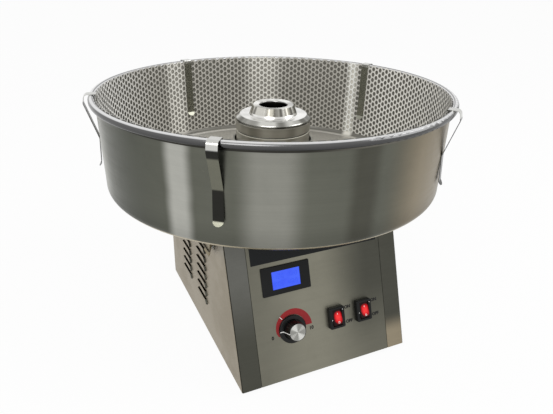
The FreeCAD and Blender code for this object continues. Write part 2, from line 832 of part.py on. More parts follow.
def catch_loop():
    """Left catch's wire loop, hanging from the lever's second holes and leaning on its web."""
    x, z = catch_pin()
    top = z - loop_offset
    low = top - loop_length
    leg = lever_width / 2 + moving_gap + wire_radius
    bend, knuckle = loop_bend * wire_radius, wire_radius + wire_hook
    tuck = catch_sheet + moving_gap + wire_radius
    spots = [(tuck - leg, top), (-leg, top), (-leg, low), (leg, low), (leg, top), (leg - tuck, top)]
    rounding = [0, knuckle, bend, bend, knuckle, 0]
    points = [Vector(x, catch_y + y, h) for y, h in spots]
    edges = []
    before = points[0]
    for i in range(1, len(points) - 1):
        here, after = points[i], points[i + 1]
        back, ahead = (points[i - 1] - here).normalize(), (after - here).normalize()
        start, end = here + back * rounding[i], here + ahead * rounding[i]
        bow = here + (back + ahead).normalize() * rounding[i] * (math.sqrt(2) - 1)
        edges.append(Part.makeLine(before, start))
        edges.append(Part.Arc(start, bow, end).toShape())
        before = end
    edges.append(Part.makeLine(before, points[-1]))
    section = Part.Wire(Part.makeCircle(wire_radius, points[0], Vector(0, 1, 0)))
    loop = Part.Wire(edges).makePipeShell([section], True, False)
    tilt = math.asin((web_reach() + moving_gap + wire_radius) / loop_length)
    return loop.rotate(Vector(x, 0, top), Vector(0, 1, 0), math.degrees(tilt))


def catch_keeper():
    """Hook under the bowl floor that the left loop pulls on, drawn for the closed lever."""
    x, z = catch_pin()
    room = wire_radius + moving_gap + catch_sheet / 2
    low = z - loop_offset + loop_length - room
    high = bowl_bottom - catch_sheet / 2
    leg, lip = x + room, x - room
    path = [(leg + keeper_foot, high, 0), (leg, high, catch_bend), (leg, low, keeper_bend)]
    path += [(lip, low, keeper_bend), (lip, low + keeper_lip, 0)]
    face = outline(sheet_outline(path, catch_sheet), in_rz)
    return face.translate(Vector(0, catch_y - keeper_width / 2, 0)).extrude(Vector(0, keeper_width, 0))


def display_case():
    """Bezel and case of the panel meter in one moulding, open at the back."""
    size = [side - 2 * display_rebate for side in display_face]
    hollow = [side - 2 * display_wall for side in size]
    bezel = plate(display_at, display_face, 0, display_rise, display_corner)
    top = [e for e in bezel.Edges if e.CenterOfMass.z > display_rise - slack]
    bezel = bezel.makeChamfer(display_rise / 3, top)
    body = centred(display_at, size, -display_depth, 0).cut(centred(display_at, hollow, -display_depth, 0))
    window = centred(display_at, display_window, -past, display_rise + past)
    return fused([bezel, body]).cut(window)


def display_screen():
    front = [side - 2 * glass_gap for side in display_window]
    back = [side + 2 * screen_border for side in display_window]
    glass = centred(display_at, front, 0, display_rise - screen_recess)
    return fused([glass, centred(display_at, back, -screen_thick, 0)])


def display_board():
    hollow = [side - 2 * display_rebate - 2 * display_wall for side in display_face]
    low = -display_depth + board_inset
    card = centred(display_at, hollow, low, low + board_thick)
    carrier = [side / 2 for side in display_window]
    return fused([card, centred(display_at, carrier, low + board_thick, -screen_thick)])


def heat_pot():
    """Potentiometer body with its bush; the bush passes through the panel."""
    body = disc(pot_radius, -sheet - pot_depth, -sheet, *knob_at)
    bush = disc(pot_bush_radius, -sheet, pot_bush_length, *knob_at)
    tag_top = -sheet - pot_tag_drop
    tags = centred((knob_at[0], knob_at[1] - pot_radius), pot_tags[:2], tag_top - pot_tags[2], tag_top)
    bore_low = -sheet - pot_depth + pot_wall
    bore = disc(pot_shaft_radius + running_gap, bore_low, pot_bush_length + past, *knob_at)
    return fused([body, bush, tags]).cut(bore)


def pot_nut():
    bore = disc(pot_bush_radius, -past, nut_thick + past, *knob_at)
    return hexagon(nut_width, 0, nut_thick, *knob_at).cut(bore)


def pot_shaft():
    low = -sheet - pot_depth + pot_wall + moving_gap
    return disc(pot_shaft_radius, low, pot_shaft_length, *knob_at)


def knob_body():
    """Skirted knob with a fluted flank, hollow over the nut and recessed for its cap."""
    top, skirt = knob_height, knob_lift + skirt_thick
    cap = knob_top_radius - knob_rim
    cap_seat = top - knob_cap_thick - knob_cap_sink
    room = nut_width / math.sqrt(3) + knob_nut_room
    room_top = pot_bush_length + knob_nut_room
    profile = [(room, knob_lift, 0), (skirt_radius, knob_lift, 0), (skirt_radius, skirt, -skirt_bevel)]
    profile += [(knob_foot_radius, skirt + skirt_rise, 0), (knob_top_radius, top, -knob_bevel)]
    profile += [(cap, top, 0), (cap, cap_seat, 0), (pot_shaft_radius, cap_seat, 0)]
    profile += [(pot_shaft_radius, room_top, 0), (room, room_top, 0)]
    knob = turned(profile)
    slope = math.degrees(math.atan2(knob_foot_radius - knob_top_radius, top - skirt))
    flute = disc(flute_radius, 0, top - skirt - flute_foot - flute_head, flute_radius - flute_depth, 0)
    flute = flute.rotate(Vector(0, 0, 0), Vector(0, 1, 0), -slope)
    flute = flute.translate(Vector(knob_foot_radius, 0, skirt + flute_foot))
    cutters = []
    for i in range(knob_flutes):
        cutters.append(flute.copy().rotate(Vector(0, 0, 0), Vector(0, 0, 1), 360 / knob_flutes * (i + 0.5)))
    return moved(knob.cut(Part.makeCompound(cutters)), Vector(*knob_at, 0))


def knob_cap():
    """Spun disc in the knob's recess, its edge a little proud of its face."""
    radius = knob_top_radius - knob_rim
    low = knob_height - knob_cap_thick - knob_cap_sink
    face = knob_height - knob_cap_dish
    profile = [(0, low, 0), (radius, low, 0), (radius, knob_height, 0), (radius - knob_cap_edge, face, 0)]
    profile.append((0, face, 0))
    return moved(turned(profile), Vector(*knob_at, 0))


def switch_places():
    return [(switch_first[0] + i * switch_pitch, switch_first[1]) for i in range(len(switch_names))]


def rocker_pocket():
    """Width and length of the pocket that a rocker swings in."""
    return rocker_width + 2 * moving_gap, 2 * (rocker_radius + moving_gap)


def switch_body(at):
    """Frame and case of a rocker switch in one moulding, with the rocker's pocket."""
    foot_face = plate(at, switch_face, 0, switch_rise, switch_corner)
    rim = [e for e in foot_face.Edges if e.CenterOfMass.z > switch_rise - slack]
    foot_face = foot_face.makeChamfer(switch_draft, rim)
    case = plate(at, switch_case, -switch_depth, 0, switch_case_corner)
    pocket = centred(at, rocker_pocket(), -pocket_depth, switch_rise + past)
    reach = rocker_width / 2 + trunnion_length + moving_gap
    bore = rod_x(trunnion_radius + running_gap, at[0] - reach, at[0] + reach, at[1], rocker_pivot)
    body = fused([foot_face, case]).cut(pocket).cut(bore)
    spots = [(at[0], at[1] + (i - 1) * blade_pitch) for i in range(3)]
    blades = [centred(spot, blade[:2], -switch_depth - blade[2], -switch_depth) for spot in spots]
    return Part.makeCompound([body] + blades)


def rocker(at):
    """Rocker with round ends about its pins, tipped to its ON side."""
    def spot(turn):
        angle = math.radians(turn)
        return Vector(0, rocker_radius * math.cos(angle), rocker_radius * math.sin(angle))

    def other(point):
        return Vector(0, -point.y, point.z)

    upper, middle, lower = spot(rocker_corner), spot((rocker_corner + rocker_under) / 2), spot(rocker_under)
    dip, keel = Vector(0, 0, rocker_dip), Vector(0, 0, -rocker_keel)
    edges = [Part.makeLine(dip, upper), Part.Arc(upper, middle, lower).toShape()]
    edges += [Part.makeLine(lower, keel), Part.makeLine(keel, other(lower))]
    edges.append(Part.Arc(other(lower), other(middle), other(upper)).toShape())
    edges.append(Part.makeLine(other(upper), dip))
    face = Part.Face(Part.Wire(edges)).translate(Vector(-rocker_width / 2, 0, 0))
    body = face.extrude(Vector(rocker_width, 0, 0))
    reach = rocker_width / 2 + trunnion_length
    shape = fused([body, rod_x(trunnion_radius, -reach, reach, 0, 0)])
    shape.rotate(Vector(0, 0, 0), Vector(1, 0, 0), -rocker_swing)
    return moved(shape, Vector(at[0], at[1], rocker_pivot))


def head_drum():
    """Lower half of the spinning head: floor, outer wall and hub on the shaft."""
    low, floor = head_base_z, head_base_z + head_floor
    inside = head_radius - head_wall
    profile = [(shaft_radius, low, 0), (head_radius, low, drum_corner), (head_radius, slot_z, -drum_bevel)]
    profile += [(inside, slot_z, 0), (inside, floor, 0), (hub_radius, floor, 0)]
    profile += [(hub_radius, hub_top, -hub_bevel), (shaft_radius, hub_top, 0)]
    return turned(profile)


def head_cap():
    """Upper half of the head: skirt, sloped shoulder, conical neck and the sugar mouth."""
    half = cap_sheet / 2
    wall, mouth = head_radius - half, mouth_radius + half
    step = wall + shoulder_step
    top, crest = head_top_z - half, neck_top_z - half
    path = [(wall, cap_z, 0), (wall, shoulder_z, 0), (step, shoulder_z + shoulder_slope, 0)]
    path += [(step, top - shoulder_drop, shoulder_round), (shoulder_radius, top, shoulder_round)]
    path += [(neck_foot_radius, top, 0), (neck_top_radius, crest, lip_round)]
    path += [(mouth, crest - lip_fall, lip_round), (mouth - mouth_taper, neck_top_z - mouth_depth, 0)]
    return turned(sheet_outline(path, cap_sheet))


def round_the_ring(radius, count):
    turns = [math.radians(180 / count + 360 / count * i) for i in range(count)]
    return [(radius * math.cos(t), radius * math.sin(t)) for t in turns]


def head_studs():
    low, high = head_base_z + head_floor, head_top_z - cap_sheet
    return [disc(stud_radius, low, high, x, y) for x, y in round_the_ring(stud_ring, stud_count)]


def heater_insulator():
    low = head_base_z + head_floor
    return ring(ring_inner, ring_outer, low, low + ring_height)


def star_face(inner, outer, points, low):
    """Zigzag outline between two radii."""
    corners = []
    for i in range(2 * points):
        turn = math.pi * i / points
        radius = outer if i % 2 else inner
        corners.append(Vector(radius * math.cos(turn), radius * math.sin(turn), low))
    return Part.Face(Part.makePolygon(corners + corners[:1]))


def heater_ribbon():
    """Pleated resistance ribbon that melts the sugar."""
    low = head_base_z + head_floor + ring_height
    rise = Vector(0, 0, ribbon_height)
    inner, outer = ribbon_inner + ribbon_sheet, ribbon_outer + ribbon_sheet
    hollow = star_face(ribbon_inner, ribbon_outer, ribbon_pleats, low).extrude(rise)
    return star_face(inner, outer, ribbon_pleats, low).extrude(rise).cut(hollow)


def floss_screen():
    low = head_base_z + head_floor + ring_height
    return ring(screen_radius - screen_sheet, screen_radius, low, low + screen_height)


def shaft_nut():
    nut = hexagon(shaft_nut_width, hub_top, hub_top + shaft_nut_height)
    return nut.cut(disc(shaft_radius, hub_top - past, shaft_top))


def drive_shaft():
    end = motor_bottom + shaft_inset
    profile = [(0, end, 0), (shaft_radius, end, -shaft_bevel), (shaft_radius, shaft_top, -shaft_bevel)]
    return turned(profile + [(0, shaft_top, 0)])


def bearing(low):
    return ring(shaft_radius + running_gap, bearing_radius, low, low + bearing_height)


def bearing_housing():
    """Flanged cup in the deck's hole that carries the upper bearing."""
    top = cabinet_top + housing_flange
    low = top - housing_height
    seat = upper_bearing_z()
    bore = shaft_radius + housing_shaft_gap
    profile = [(bore, low, 0), (housing_radius, low, -housing_bevel), (housing_radius, cabinet_top, 0)]
    profile += [(housing_flange_radius, cabinet_top, 0), (housing_flange_radius, top, -housing_bevel)]
    profile += [(bearing_radius, top, 0), (bearing_radius, seat, 0), (bore, seat, 0)]
    return turned(profile)


def upper_bearing_z():
    return cabinet_top + housing_flange - housing_height + housing_floor


def motor_cap_shape(low):
    """End cap of the motor with its bearing pocket; the pocket opens upwards."""
    high = low + motor_cap
    pocket = high - bearing_height
    bore = shaft_radius + motor_shaft_gap
    profile = [(bore, low, 0), (motor_radius, low, -motor_bevel), (motor_radius, high, 0)]
    profile += [(bearing_radius, high, 0), (bearing_radius, pocket, 0), (bore, pocket, 0)]
    spots = round_the_ring(bolt_ring, bolt_count)
    bolts = [disc(bolt_radius, low - past, high + past, x, y) for x, y in spots]
    return turned(profile).cut(Part.makeCompound(bolts))


def motor_can():
    low, high = motor_bottom + motor_cap, motor_top - motor_cap
    return ring(motor_radius - motor_wall, motor_radius, low, high)


def motor_stator():
    low, high = motor_bottom + motor_cap + stator_inset, motor_top - motor_cap - stator_inset
    core = ring(stator_radius, motor_radius - motor_wall, low, high)
    spots = round_the_ring(bolt_ring, bolt_count)
    bolts = [disc(bolt_radius + running_gap, low - past, high + past, x, y) for x, y in spots]
    return core.cut(Part.makeCompound(bolts))


def motor_rotor():
    low, high = motor_bottom + motor_cap + stator_inset, motor_top - motor_cap - stator_inset
    return ring(shaft_radius, rotor_radius, low, high)


def motor_bolts():
    """Through bolts that clamp the motor under its bracket, with nuts below and above."""
    shapes = []
    top = motor_top + bracket_sheet
    width, tall = bolt_nut
    end = tall + thread_end
    for x, y in round_the_ring(bolt_ring, bolt_count):
        shank = disc(bolt_radius, motor_bottom - end, top + end, x, y)
        nuts = [hexagon(width, low, low + tall, x, y) for low in (motor_bottom - tall, top)]
        shapes.append(fused([shank] + nuts))
    return shapes


def motor_bracket():
    low, high = bracket_z, bracket_z + bracket_sheet
    limits = (low - past, high + past)
    shape = plate((0, 0), bracket_size, low, high, bracket_corner)
    cuts = [disc(bearing_radius + bracket_bearing_gap, *limits)]
    cuts += [disc(bolt_radius, *limits, x, y) for x, y in round_the_ring(bolt_ring, bolt_count)]
    cuts += [disc(screw_radius, *limits, x, y) for x, y in standoff_places()]
    return shape.cut(Part.makeCompound(cuts))


def bracket_standoffs():
    """Hexagonal standoffs between deck and bracket, each with a screw at both ends."""
    low, high = bracket_z + bracket_sheet, deck_under
    shapes = []
    for x, y in standoff_places():
        body = hexagon(2 * standoff_radius, low, high, x, y)
        core = disc(screw_radius, bracket_z - screw_head_height, cabinet_top, x, y)
        head = disc(screw_head_radius, bracket_z - screw_head_height, bracket_z, x, y)
        top = disc(screw_head_radius, cabinet_top, cabinet_top + screw_head_height, x, y)
        shapes.append(fused([body, core, head, top]))
    return shapes


def sleeve_low():
    return bracket_z + bracket_sheet + sleeve_lift


def slip_ring_heights():
    middle = sleeve_low() + sleeve_height / 2 - slip_ring_height / 2
    return [middle - slip_ring_pitch / 2, middle + slip_ring_pitch / 2]


def slip_sleeve():
    return ring(shaft_radius, sleeve_radius, sleeve_low(), sleeve_low() + sleeve_height)


def slip_rings():
    rings = [ring(sleeve_radius, ring_radius, z, z + slip_ring_height) for z in slip_ring_heights()]
    return Part.makeCompound(rings)


def brush_limits(z):
    """Limits of one carbon brush beside its slip ring."""
    deep, across, tall = brush_size
    near = ring_radius + moving_gap
    middle = z + slip_ring_height / 2
    return (near, near + deep), (-across / 2, across / 2), (middle - tall / 2, middle + tall / 2)


def brush_holder():
    """Insulating post on the bracket with a pocket for each brush and its spring."""
    near = ring_radius + brush_out
    far = near + brush_size[0] + brush_spring_room + brush_wall
    wide = brush_size[1] / 2 + brush_wall
    low = bracket_z + bracket_sheet
    high = sleeve_low() + sleeve_height
    post = block((near, far), (-wide, wide), (low, high))
    for z in slip_ring_heights():
        x, y, tall = brush_limits(z)
        pocket = block((x[0], far - brush_wall), y, tall)
        post = post.cut(pocket)
    return post


def carbon_brushes():
    return Part.makeCompound([block(*brush_limits(z)) for z in slip_ring_heights()])


def board_low():
    return cabinet_bottom + sheet + post_height


def board_card():
    """Regulator card on four posts."""
    low = board_low()
    card = centred(card_at, card_size, low, low + board_thick)
    x, y = [side / 2 - post_inset for side in card_size]
    posts = [disc(post_radius, cabinet_bottom + sheet, low, card_at[0] + a, card_at[1] + b)
             for a in (-x, x) for b in (-y, y)]
    return fused([card] + posts)


def board_parts():
    """Heat sink with its fins and two capacitors on the card."""
    low = board_low() + board_thick
    x, y = card_at
    wide, deep, tall = heat_sink
    at = (x - heat_sink_offset[0], y - heat_sink_offset[1])
    sink = [centred(at, (wide, deep), low, low + heat_sink_base)]
    step = (wide - heat_sink_fin) / (heat_sink_fins - 1)
    for i in range(heat_sink_fins):
        spot = (at[0] - wide / 2 + heat_sink_fin / 2 + i * step, at[1])
        sink.append(centred(spot, (heat_sink_fin, deep), low, low + tall))
    right, apart = capacitor_offset
    spots = [(x + right, y + side * apart) for side in (-1, 1)]
    return [fused(sink)] + [disc(capacitor_radius, low, low + capacitor_height, *spot) for spot in spots]


def terminal_strip():
    """Screw terminal strip on the base plate."""
    low = cabinet_bottom + sheet
    wide, deep, tall = terminal_block
    body = centred(terminal_at, (wide, deep), low, low + tall)
    pitch = wide / terminal_ways
    radius, limits = pitch / 2 - terminal_wall, (low + tall - terminal_well, low + tall + past)
    for i in range(terminal_ways):
        x = terminal_at[0] - wide / 2 + pitch * (i + 0.5)
        body = body.cut(disc(radius, *limits, x, terminal_at[1]))
    return body


def cord_gland():
    """Cord inlet: hexagon against the rear panel, dome nut outside, lock nut inside."""
    x, z = gland_at
    thread, dome, tail = gland_thread_radius, gland_flange + gland_dome_length, -sheet - gland_tail
    dome_foot, dome_top, crown = gland_dome
    profile = [(gland_bore, tail, 0), (thread, tail, 0), (thread, gland_flange, 0)]
    profile += [(thread + dome_foot, gland_flange, 0), (thread + dome_top, dome - crown, crown / 2)]
    profile += [(gland_bore + gland_lip, dome, 0), (gland_bore, dome, 0)]
    nuts = [hexagon(gland_hex, 0, gland_flange), hexagon(gland_hex, -sheet - gland_nut, -sheet)]
    body = fused([turned(profile)] + nuts).cut(disc(gland_bore, tail - past, dome + past))
    body.rotate(Vector(0, 0, 0), Vector(1, 0, 0), -90)
    return moved(body, Vector(x, back_y - sheet, z))


def fuse_holder():
    """Fuse holder through the rear panel, with a slotted cap outside."""
    x, z = fuse_at
    low, cap = -sheet - fuse_body_length, fuse_cap_radius - fuse_step
    flange_low, flange_high = fuse_flange
    profile = [(0, low, 0), (fuse_radius, low, -fuse_bevel), (fuse_radius, 0, 0), (fuse_cap_radius, 0, 0)]
    profile += [(fuse_cap_radius, flange_low, 0), (cap, flange_high, 0)]
    profile += [(cap, fuse_cap_length, -fuse_bevel), (0, fuse_cap_length, 0)]
    half = fuse_slot[0] / 2
    slot = block((-cap, cap), (-half, half), (fuse_cap_length - fuse_slot[1], fuse_cap_length + past))
    body = turned(profile).cut(slot)
    body.rotate(Vector(0, 0, 0), Vector(1, 0, 0), -90)
    return moved(body, Vector(x, back_y - sheet, z))


def rear_screws():
    """Pan-head screws through the rear flanges and the rear panel."""
    shapes = []
    for x in (rear_flange / 2 - half_width, half_width - rear_flange / 2):
        for z in rear_screw_heights():
            shank = rod_y(screw_radius, back_y - screw_length, back_y, x, z)
            head = rod_y(screw_head_radius, back_y, back_y + screw_head_height, x, z)
            shapes.append(fused([shank, head]))
    return shapes


def save(name, shape):
    shape.exportStep("parts/" + name + ".step")


def save_cabinet():
    left = side_panel()
    save("side_panel_left", left)
    save("side_panel_right", mirrored(left))
    save("control_panel", control_panel())
    save("base_plate", base_plate())
    save("top_deck", top_deck())
    save("rear_panel", rear_panel())
    save("cabinet_screws", Part.makeCompound(rear_screws() + [foot_screw(x, y) for x, y in foot_places()]))
    save("feet", Part.makeCompound([foot(x, y) for x, y in foot_places()]))
    save("deck_spigot", deck_spigot())
    save("bowl_seat", bowl_seat())


def save_bowl():
    save("bowl", bowl())
    save("bowl_collar", bowl_collar())
    save("bowl_net", bowl_net())
    for name, angle in clip_angles.items():
        save("clip_" + name, rim_clip(angle))


def save_catches():
    base, keeper = catch_base(), catch_keeper()
    save("catch_bases", Part.makeCompound(base + [mirrored(solid) for solid in base]))
    save("catch_keepers", Part.makeCompound([keeper, mirrored(keeper)]))
    for name, shape in (("lever", catch_lever()), ("loop", catch_loop())):
        save("catch_" + name + "_left", shape)
        save("catch_" + name + "_right", mirrored(shape))


def save_controls():
    save("display_case", on_panel(display_case()))
    save("display_screen", on_panel(display_screen()))
    save("display_board", on_panel(display_board()))
    save("heat_pot", on_panel(heat_pot()))
    save("pot_nut", on_panel(pot_nut()))
    save("pot_shaft", on_panel(pot_shaft()))
    save("knob_body", on_panel(knob_body()))
    save("knob_cap", on_panel(knob_cap()))
    for name, at in zip(switch_names, switch_places()):
        save(name + "_switch_body", on_panel(switch_body(at)))
        save(name + "_rocker", on_panel(rocker(at)))


def save_head():
    save("head_drum", head_drum())
    save("head_cap", head_cap())
    save("head_fasteners", Part.makeCompound(head_studs() + [shaft_nut()]))
    save("heater_insulator", heater_insulator())
    save("heater_ribbon", heater_ribbon())
    save("floss_screen", floss_screen())


def save_drive():
    save("drive_shaft", drive_shaft())
    lows = [motor_bottom + motor_cap - bearing_height, motor_top - bearing_height, upper_bearing_z()]
    save("bearings", Part.makeCompound([bearing(low) for low in lows]))
    save("bearing_housing", bearing_housing())
    caps = [motor_cap_shape(low) for low in (motor_bottom, motor_top - motor_cap)]
    save("motor_caps", Part.makeCompound(caps))
    save("motor_can", motor_can())
    save("motor_stator", motor_stator())
    save("motor_rotor", motor_rotor())
    save("motor_bracket", motor_bracket())
    save("motor_fasteners", Part.makeCompound(motor_bolts() + bracket_standoffs()))
    save("slip_sleeve", slip_sleeve())
    save("slip_rings", slip_rings())
    save("brush_holder", brush_holder())
    save("carbon_brushes", carbon_brushes())


def save_electrics():
    save("control_board", Part.makeCompound([board_card()] + board_parts()))
    save("terminal_strip", terminal_strip())
    save("cord_gland", cord_gland())
    save("fuse_holder", fuse_holder())


save_cabinet()
save_bowl()
save_catches()
save_controls()
save_head()
save_drive()
save_electrics()
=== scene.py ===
import json
import math

import bmesh
import bpy
from mathutils import Matrix, Vector


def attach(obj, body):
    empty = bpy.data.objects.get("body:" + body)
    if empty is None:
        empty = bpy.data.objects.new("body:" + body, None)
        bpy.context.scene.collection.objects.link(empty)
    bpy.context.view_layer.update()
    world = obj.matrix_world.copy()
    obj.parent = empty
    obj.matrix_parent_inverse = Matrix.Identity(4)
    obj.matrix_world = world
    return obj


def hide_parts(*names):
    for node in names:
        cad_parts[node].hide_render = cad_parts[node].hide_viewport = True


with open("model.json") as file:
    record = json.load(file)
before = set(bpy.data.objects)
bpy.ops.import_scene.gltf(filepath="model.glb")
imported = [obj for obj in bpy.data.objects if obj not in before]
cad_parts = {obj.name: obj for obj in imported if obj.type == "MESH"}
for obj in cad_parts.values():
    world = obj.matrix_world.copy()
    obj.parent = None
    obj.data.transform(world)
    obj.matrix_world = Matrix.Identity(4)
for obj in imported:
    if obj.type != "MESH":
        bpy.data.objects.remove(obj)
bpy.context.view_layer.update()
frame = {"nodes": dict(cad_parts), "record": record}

# Electric candy floss machine: finishes, net, printing, lamps and camera.
# Metres, X right, Y back, Z up, bowl axis at the origin.
MM = 0.001

# Net and rim
NET_LOW, NET_HIGH = 297.8, 455.5
NET_LOW_RADIUS, NET_HIGH_RADIUS = 303.7, 308.5
NET_THICK = 0.8
NET_TOP_ROW = 460.2
NET_COLUMNS, NET_ROWS, NET_PITCH = 222, 15, 11.6
NET_HOLE = (3.75, 4.45)
NET_CELL = (2.344, 6.256)
WALL_RADIUS = 305.0

# Control panel, its lower edge and its lean
PANEL_FOOT = Vector((0, -250, 12))
PANEL_UP = Vector((0, 0.31399, 0.94943))
PANEL_OUT = Vector((0, -0.94943, 0.31399))
PANEL_LENGTH = 284.4
KNOB_AT = (-60.0, 87.0)
SWITCHES_AT = {"heat": (24.5, 87.3), "motor": (80.0, 87.3)}
DISPLAY_AT = (-61.5, 177.0)
FILM = 0.12
BAND_SIDE, BAND_LOW, BAND_GAP = 121.3, 209.0, 1.5
ROCKER_PINS, ROCKER_TIP = 3.0, -12.0
ROCKER_RISE, ROCKER_END_RISE, ROCKER_END = 4.6, 6.22, 13.65
FRAME_FACE = 9.0

# Studio
BACKGROUND_WHITE, LIGHT_ON_PART = 1.0, 0.52
FLOOR_HALF = 9.0
LAMP_AIM = Vector((0, -0.05, 0.25))
CAMERA_YAW, CAMERA_PITCH, CAMERA_ROLL = 0.433, 0.441, 0.017
CAMERA_SPOT = Vector((-0.4036, -0.8716, 0.6718))


def paint(red, green, blue):
    """Colour as it shows, 0 to 255, for a shader."""
    parts = []
    for shown in (red / 255, green / 255, blue / 255):
        parts.append(shown / 12.92 if shown <= 0.04045 else ((shown + 0.055) / 1.055) ** 2.4)
    return (*parts, 1.0)


# Shader building

def plug(tree, value, socket):
    """Links an output to a socket, or sets the socket's own value."""
    if isinstance(value, bpy.types.NodeSocket):
        tree.links.new(value, socket)
    else:
        socket.default_value = value


def add(tree, kind, sockets=None, **settings):
    """New node with its settings and its inputs, by socket name or number."""
    node = tree.nodes.new("ShaderNode" + kind)
    for name, value in settings.items():
        setattr(node, name, value)
    for name, value in (sockets or {}).items():
        plug(tree, value, node.inputs[name])
    return node


def calc(tree, operation, *values, clamp=False):
    node = add(tree, "Math", dict(enumerate(values)), operation=operation, use_clamp=clamp)
    return node.outputs[0]


def span(tree, value, low, high, new_low=0.0, new_high=1.0):
    """Value remapped smoothly from one span to another."""
    sockets = {"Value": value, "From Min": low, "From Max": high, "To Min": new_low, "To Max": new_high}
    return add(tree, "MapRange", sockets, interpolation_type="SMOOTHSTEP").outputs["Result"]


def level(tree, value, low, high):
    """Value's even place between two limits, 0 to 1."""
    return add(tree, "MapRange", {"Value": value, "From Min": low, "From Max": high}).outputs["Result"]


def blend(tree, share, first, second, mode="MIX"):
    node = add(tree, "Mix", data_type="RGBA", blend_type=mode)
    for name, value in (("Factor_Float", share), ("A_Color", first), ("B_Color", second)):
        plug(tree, value, next(s for s in node.inputs if s.identifier == name))
    return next(s for s in node.outputs if s.identifier == "Result_Color")


def tones(tree, value, stops, way="LINEAR"):
    """Colour ramp from (place, (r, g, b)) stops, places from 0 to 1."""
    node = add(tree, "ValToRGB", {"Fac": value})
    band = node.color_ramp
    band.interpolation = way
    for i, (spot, tone) in enumerate(stops):
        stop = band.elements[i] if i < 2 else band.elements.new(spot)
        stop.position = spot
        stop.color = paint(*tone)
    return node.outputs["Color"]


def length_tones(tree, value, stops):
    """Tone along a length in metres, from (millimetres, (r, g, b)) stops."""
    low, high = stops[0][0], stops[-1][0]
    share = level(tree, value, low * MM, high * MM)
    return tones(tree, share, [((spot - low) / (high - low), tone) for spot, tone in stops])


def greys(pairs, warmth):
    """Steel tones from (place, tone) pairs; warmth takes out blue and a little green."""
    return [(spot, (tone, tone - warmth // 4, tone - warmth)) for spot, tone in pairs]


def shaded(tree, color, shade):
    """Colour times a level."""
    return blend(tree, 1.0, color, join(tree, shade, shade, shade), "MULTIPLY")


def within(tree, value, low, high):
    """1 where the value lies between two limits."""
    return calc(tree, "MULTIPLY", calc(tree, "GREATER_THAN", value, low), calc(tree, "LESS_THAN", value, high))


def turn_share(tree, sine, cosine):
    """Angle as a share of a whole turn, 0.5 where the sine is 0 and the cosine positive."""
    return calc(tree, "MULTIPLY_ADD", calc(tree, "ARCTAN2", sine, cosine), 0.5 / math.pi, 0.5)


def flat_radius(tree, first, second):
    squares = calc(tree, "ADD", calc(tree, "MULTIPLY", first, first), calc(tree, "MULTIPLY", second, second))
    return calc(tree, "SQRT", squares)


def place(tree):
    """Position on the part itself, in metres."""
    return add(tree, "TexCoord").outputs["Object"]


def split(tree, vector):
    return add(tree, "SeparateXYZ", {0: vector}).outputs


def join(tree, x, y, z):
    return add(tree, "CombineXYZ", {0: x, 1: y, 2: z}).outputs[0]


def new_group(name, inputs, outputs):
    """Empty shader group; inputs are (name, type, value), outputs (name, type)."""
    tree = bpy.data.node_groups.new(name, "ShaderNodeTree")
    for label, kind, value in inputs:
        socket = tree.interface.new_socket(label, in_out="INPUT", socket_type="NodeSocket" + kind)
        if value is not None:
            socket.default_value = value
    for label, kind in outputs:
        tree.interface.new_socket(label, in_out="OUTPUT", socket_type="NodeSocket" + kind)
    return tree, tree.nodes.new("NodeGroupInput").outputs, tree.nodes.new("NodeGroupOutput").inputs


def use(tree, group, sockets):
    node = add(tree, "Group", node_tree=group)
    for name, value in sockets.items():
        plug(tree, value, node.inputs[name])
    return node.outputs


def build_around_axis():
    """Place round an upright axis: turn (0 to 1, front at 0.5, rising to the right), radius, height."""
    outputs = [("Turn", "Float"), ("Radius", "Float"), ("Height", "Float")]
    tree, given, out = new_group("around_axis", [("Place", "Vector", None)], outputs)
    x, y, z = split(tree, given["Place"])[:3]
    plug(tree, turn_share(tree, x, calc(tree, "MULTIPLY", y, -1.0)), out["Turn"])
    plug(tree, flat_radius(tree, x, y), out["Radius"])
    plug(tree, z, out["Height"])
    return tree


def build_panel_place():
    """Place on the leaning control panel, in metres: across, up its slope, and polar round a centre."""
    inputs = [("Place", "Vector", None), ("Across", "Float", 0.0), ("Up", "Float", 0.0)]
    outputs = [("Across", "Float"), ("Up", "Float"), ("Turn", "Float"), ("Radius", "Float")]
    tree, given, out = new_group("panel_place", inputs, outputs)
    foot = tuple(PANEL_FOOT * MM)
    moved = add(tree, "VectorMath", {0: given["Place"], 1: foot}, operation="SUBTRACT").outputs[0]
    up = add(tree, "VectorMath", {0: moved, 1: tuple(PANEL_UP)}, operation="DOT_PRODUCT").outputs["Value"]
    across = calc(tree, "SUBTRACT", split(tree, moved)[0], given["Across"])
    up = calc(tree, "SUBTRACT", up, given["Up"])
    plug(tree, across, out["Across"])
    plug(tree, up, out["Up"])
    plug(tree, turn_share(tree, up, across), out["Turn"])
    plug(tree, flat_radius(tree, across, up), out["Radius"])
    return tree


def build_brushed_grain():
    """Fine streaks; Stretch is how often the grain changes along each axis, per metre."""
    inputs = [("Place", "Vector", None), ("Stretch", "Vector", (20, 20, 1500))]
    tree, given, out = new_group("brushed_grain", inputs, [("Streak", "Float"), ("Height", "Float")])
    laid = add(tree, "VectorMath", {0: given["Place"], 1: given["Stretch"]}, operation="MULTIPLY").outputs[0]
    fine = add(tree, "TexNoise", {"Vector": laid, "Scale": 1.0, "Detail": 3.0, "Roughness": 0.6}).outputs[0]
    half = add(tree, "VectorMath", {0: laid, 1: (0.21, 0.21, 0.21)}, operation="MULTIPLY").outputs[0]
    broad = add(tree, "TexNoise", {"Vector": half, "Scale": 1.0, "Detail": 2.0, "Roughness": 0.5}).outputs[0]
    both = calc(tree, "MULTIPLY_ADD", broad, 0.45, calc(tree, "MULTIPLY", fine, 0.55))
    plug(tree, span(tree, both, 0.3, 0.7), out["Streak"])
    plug(tree, both, out["Height"])
    return tree


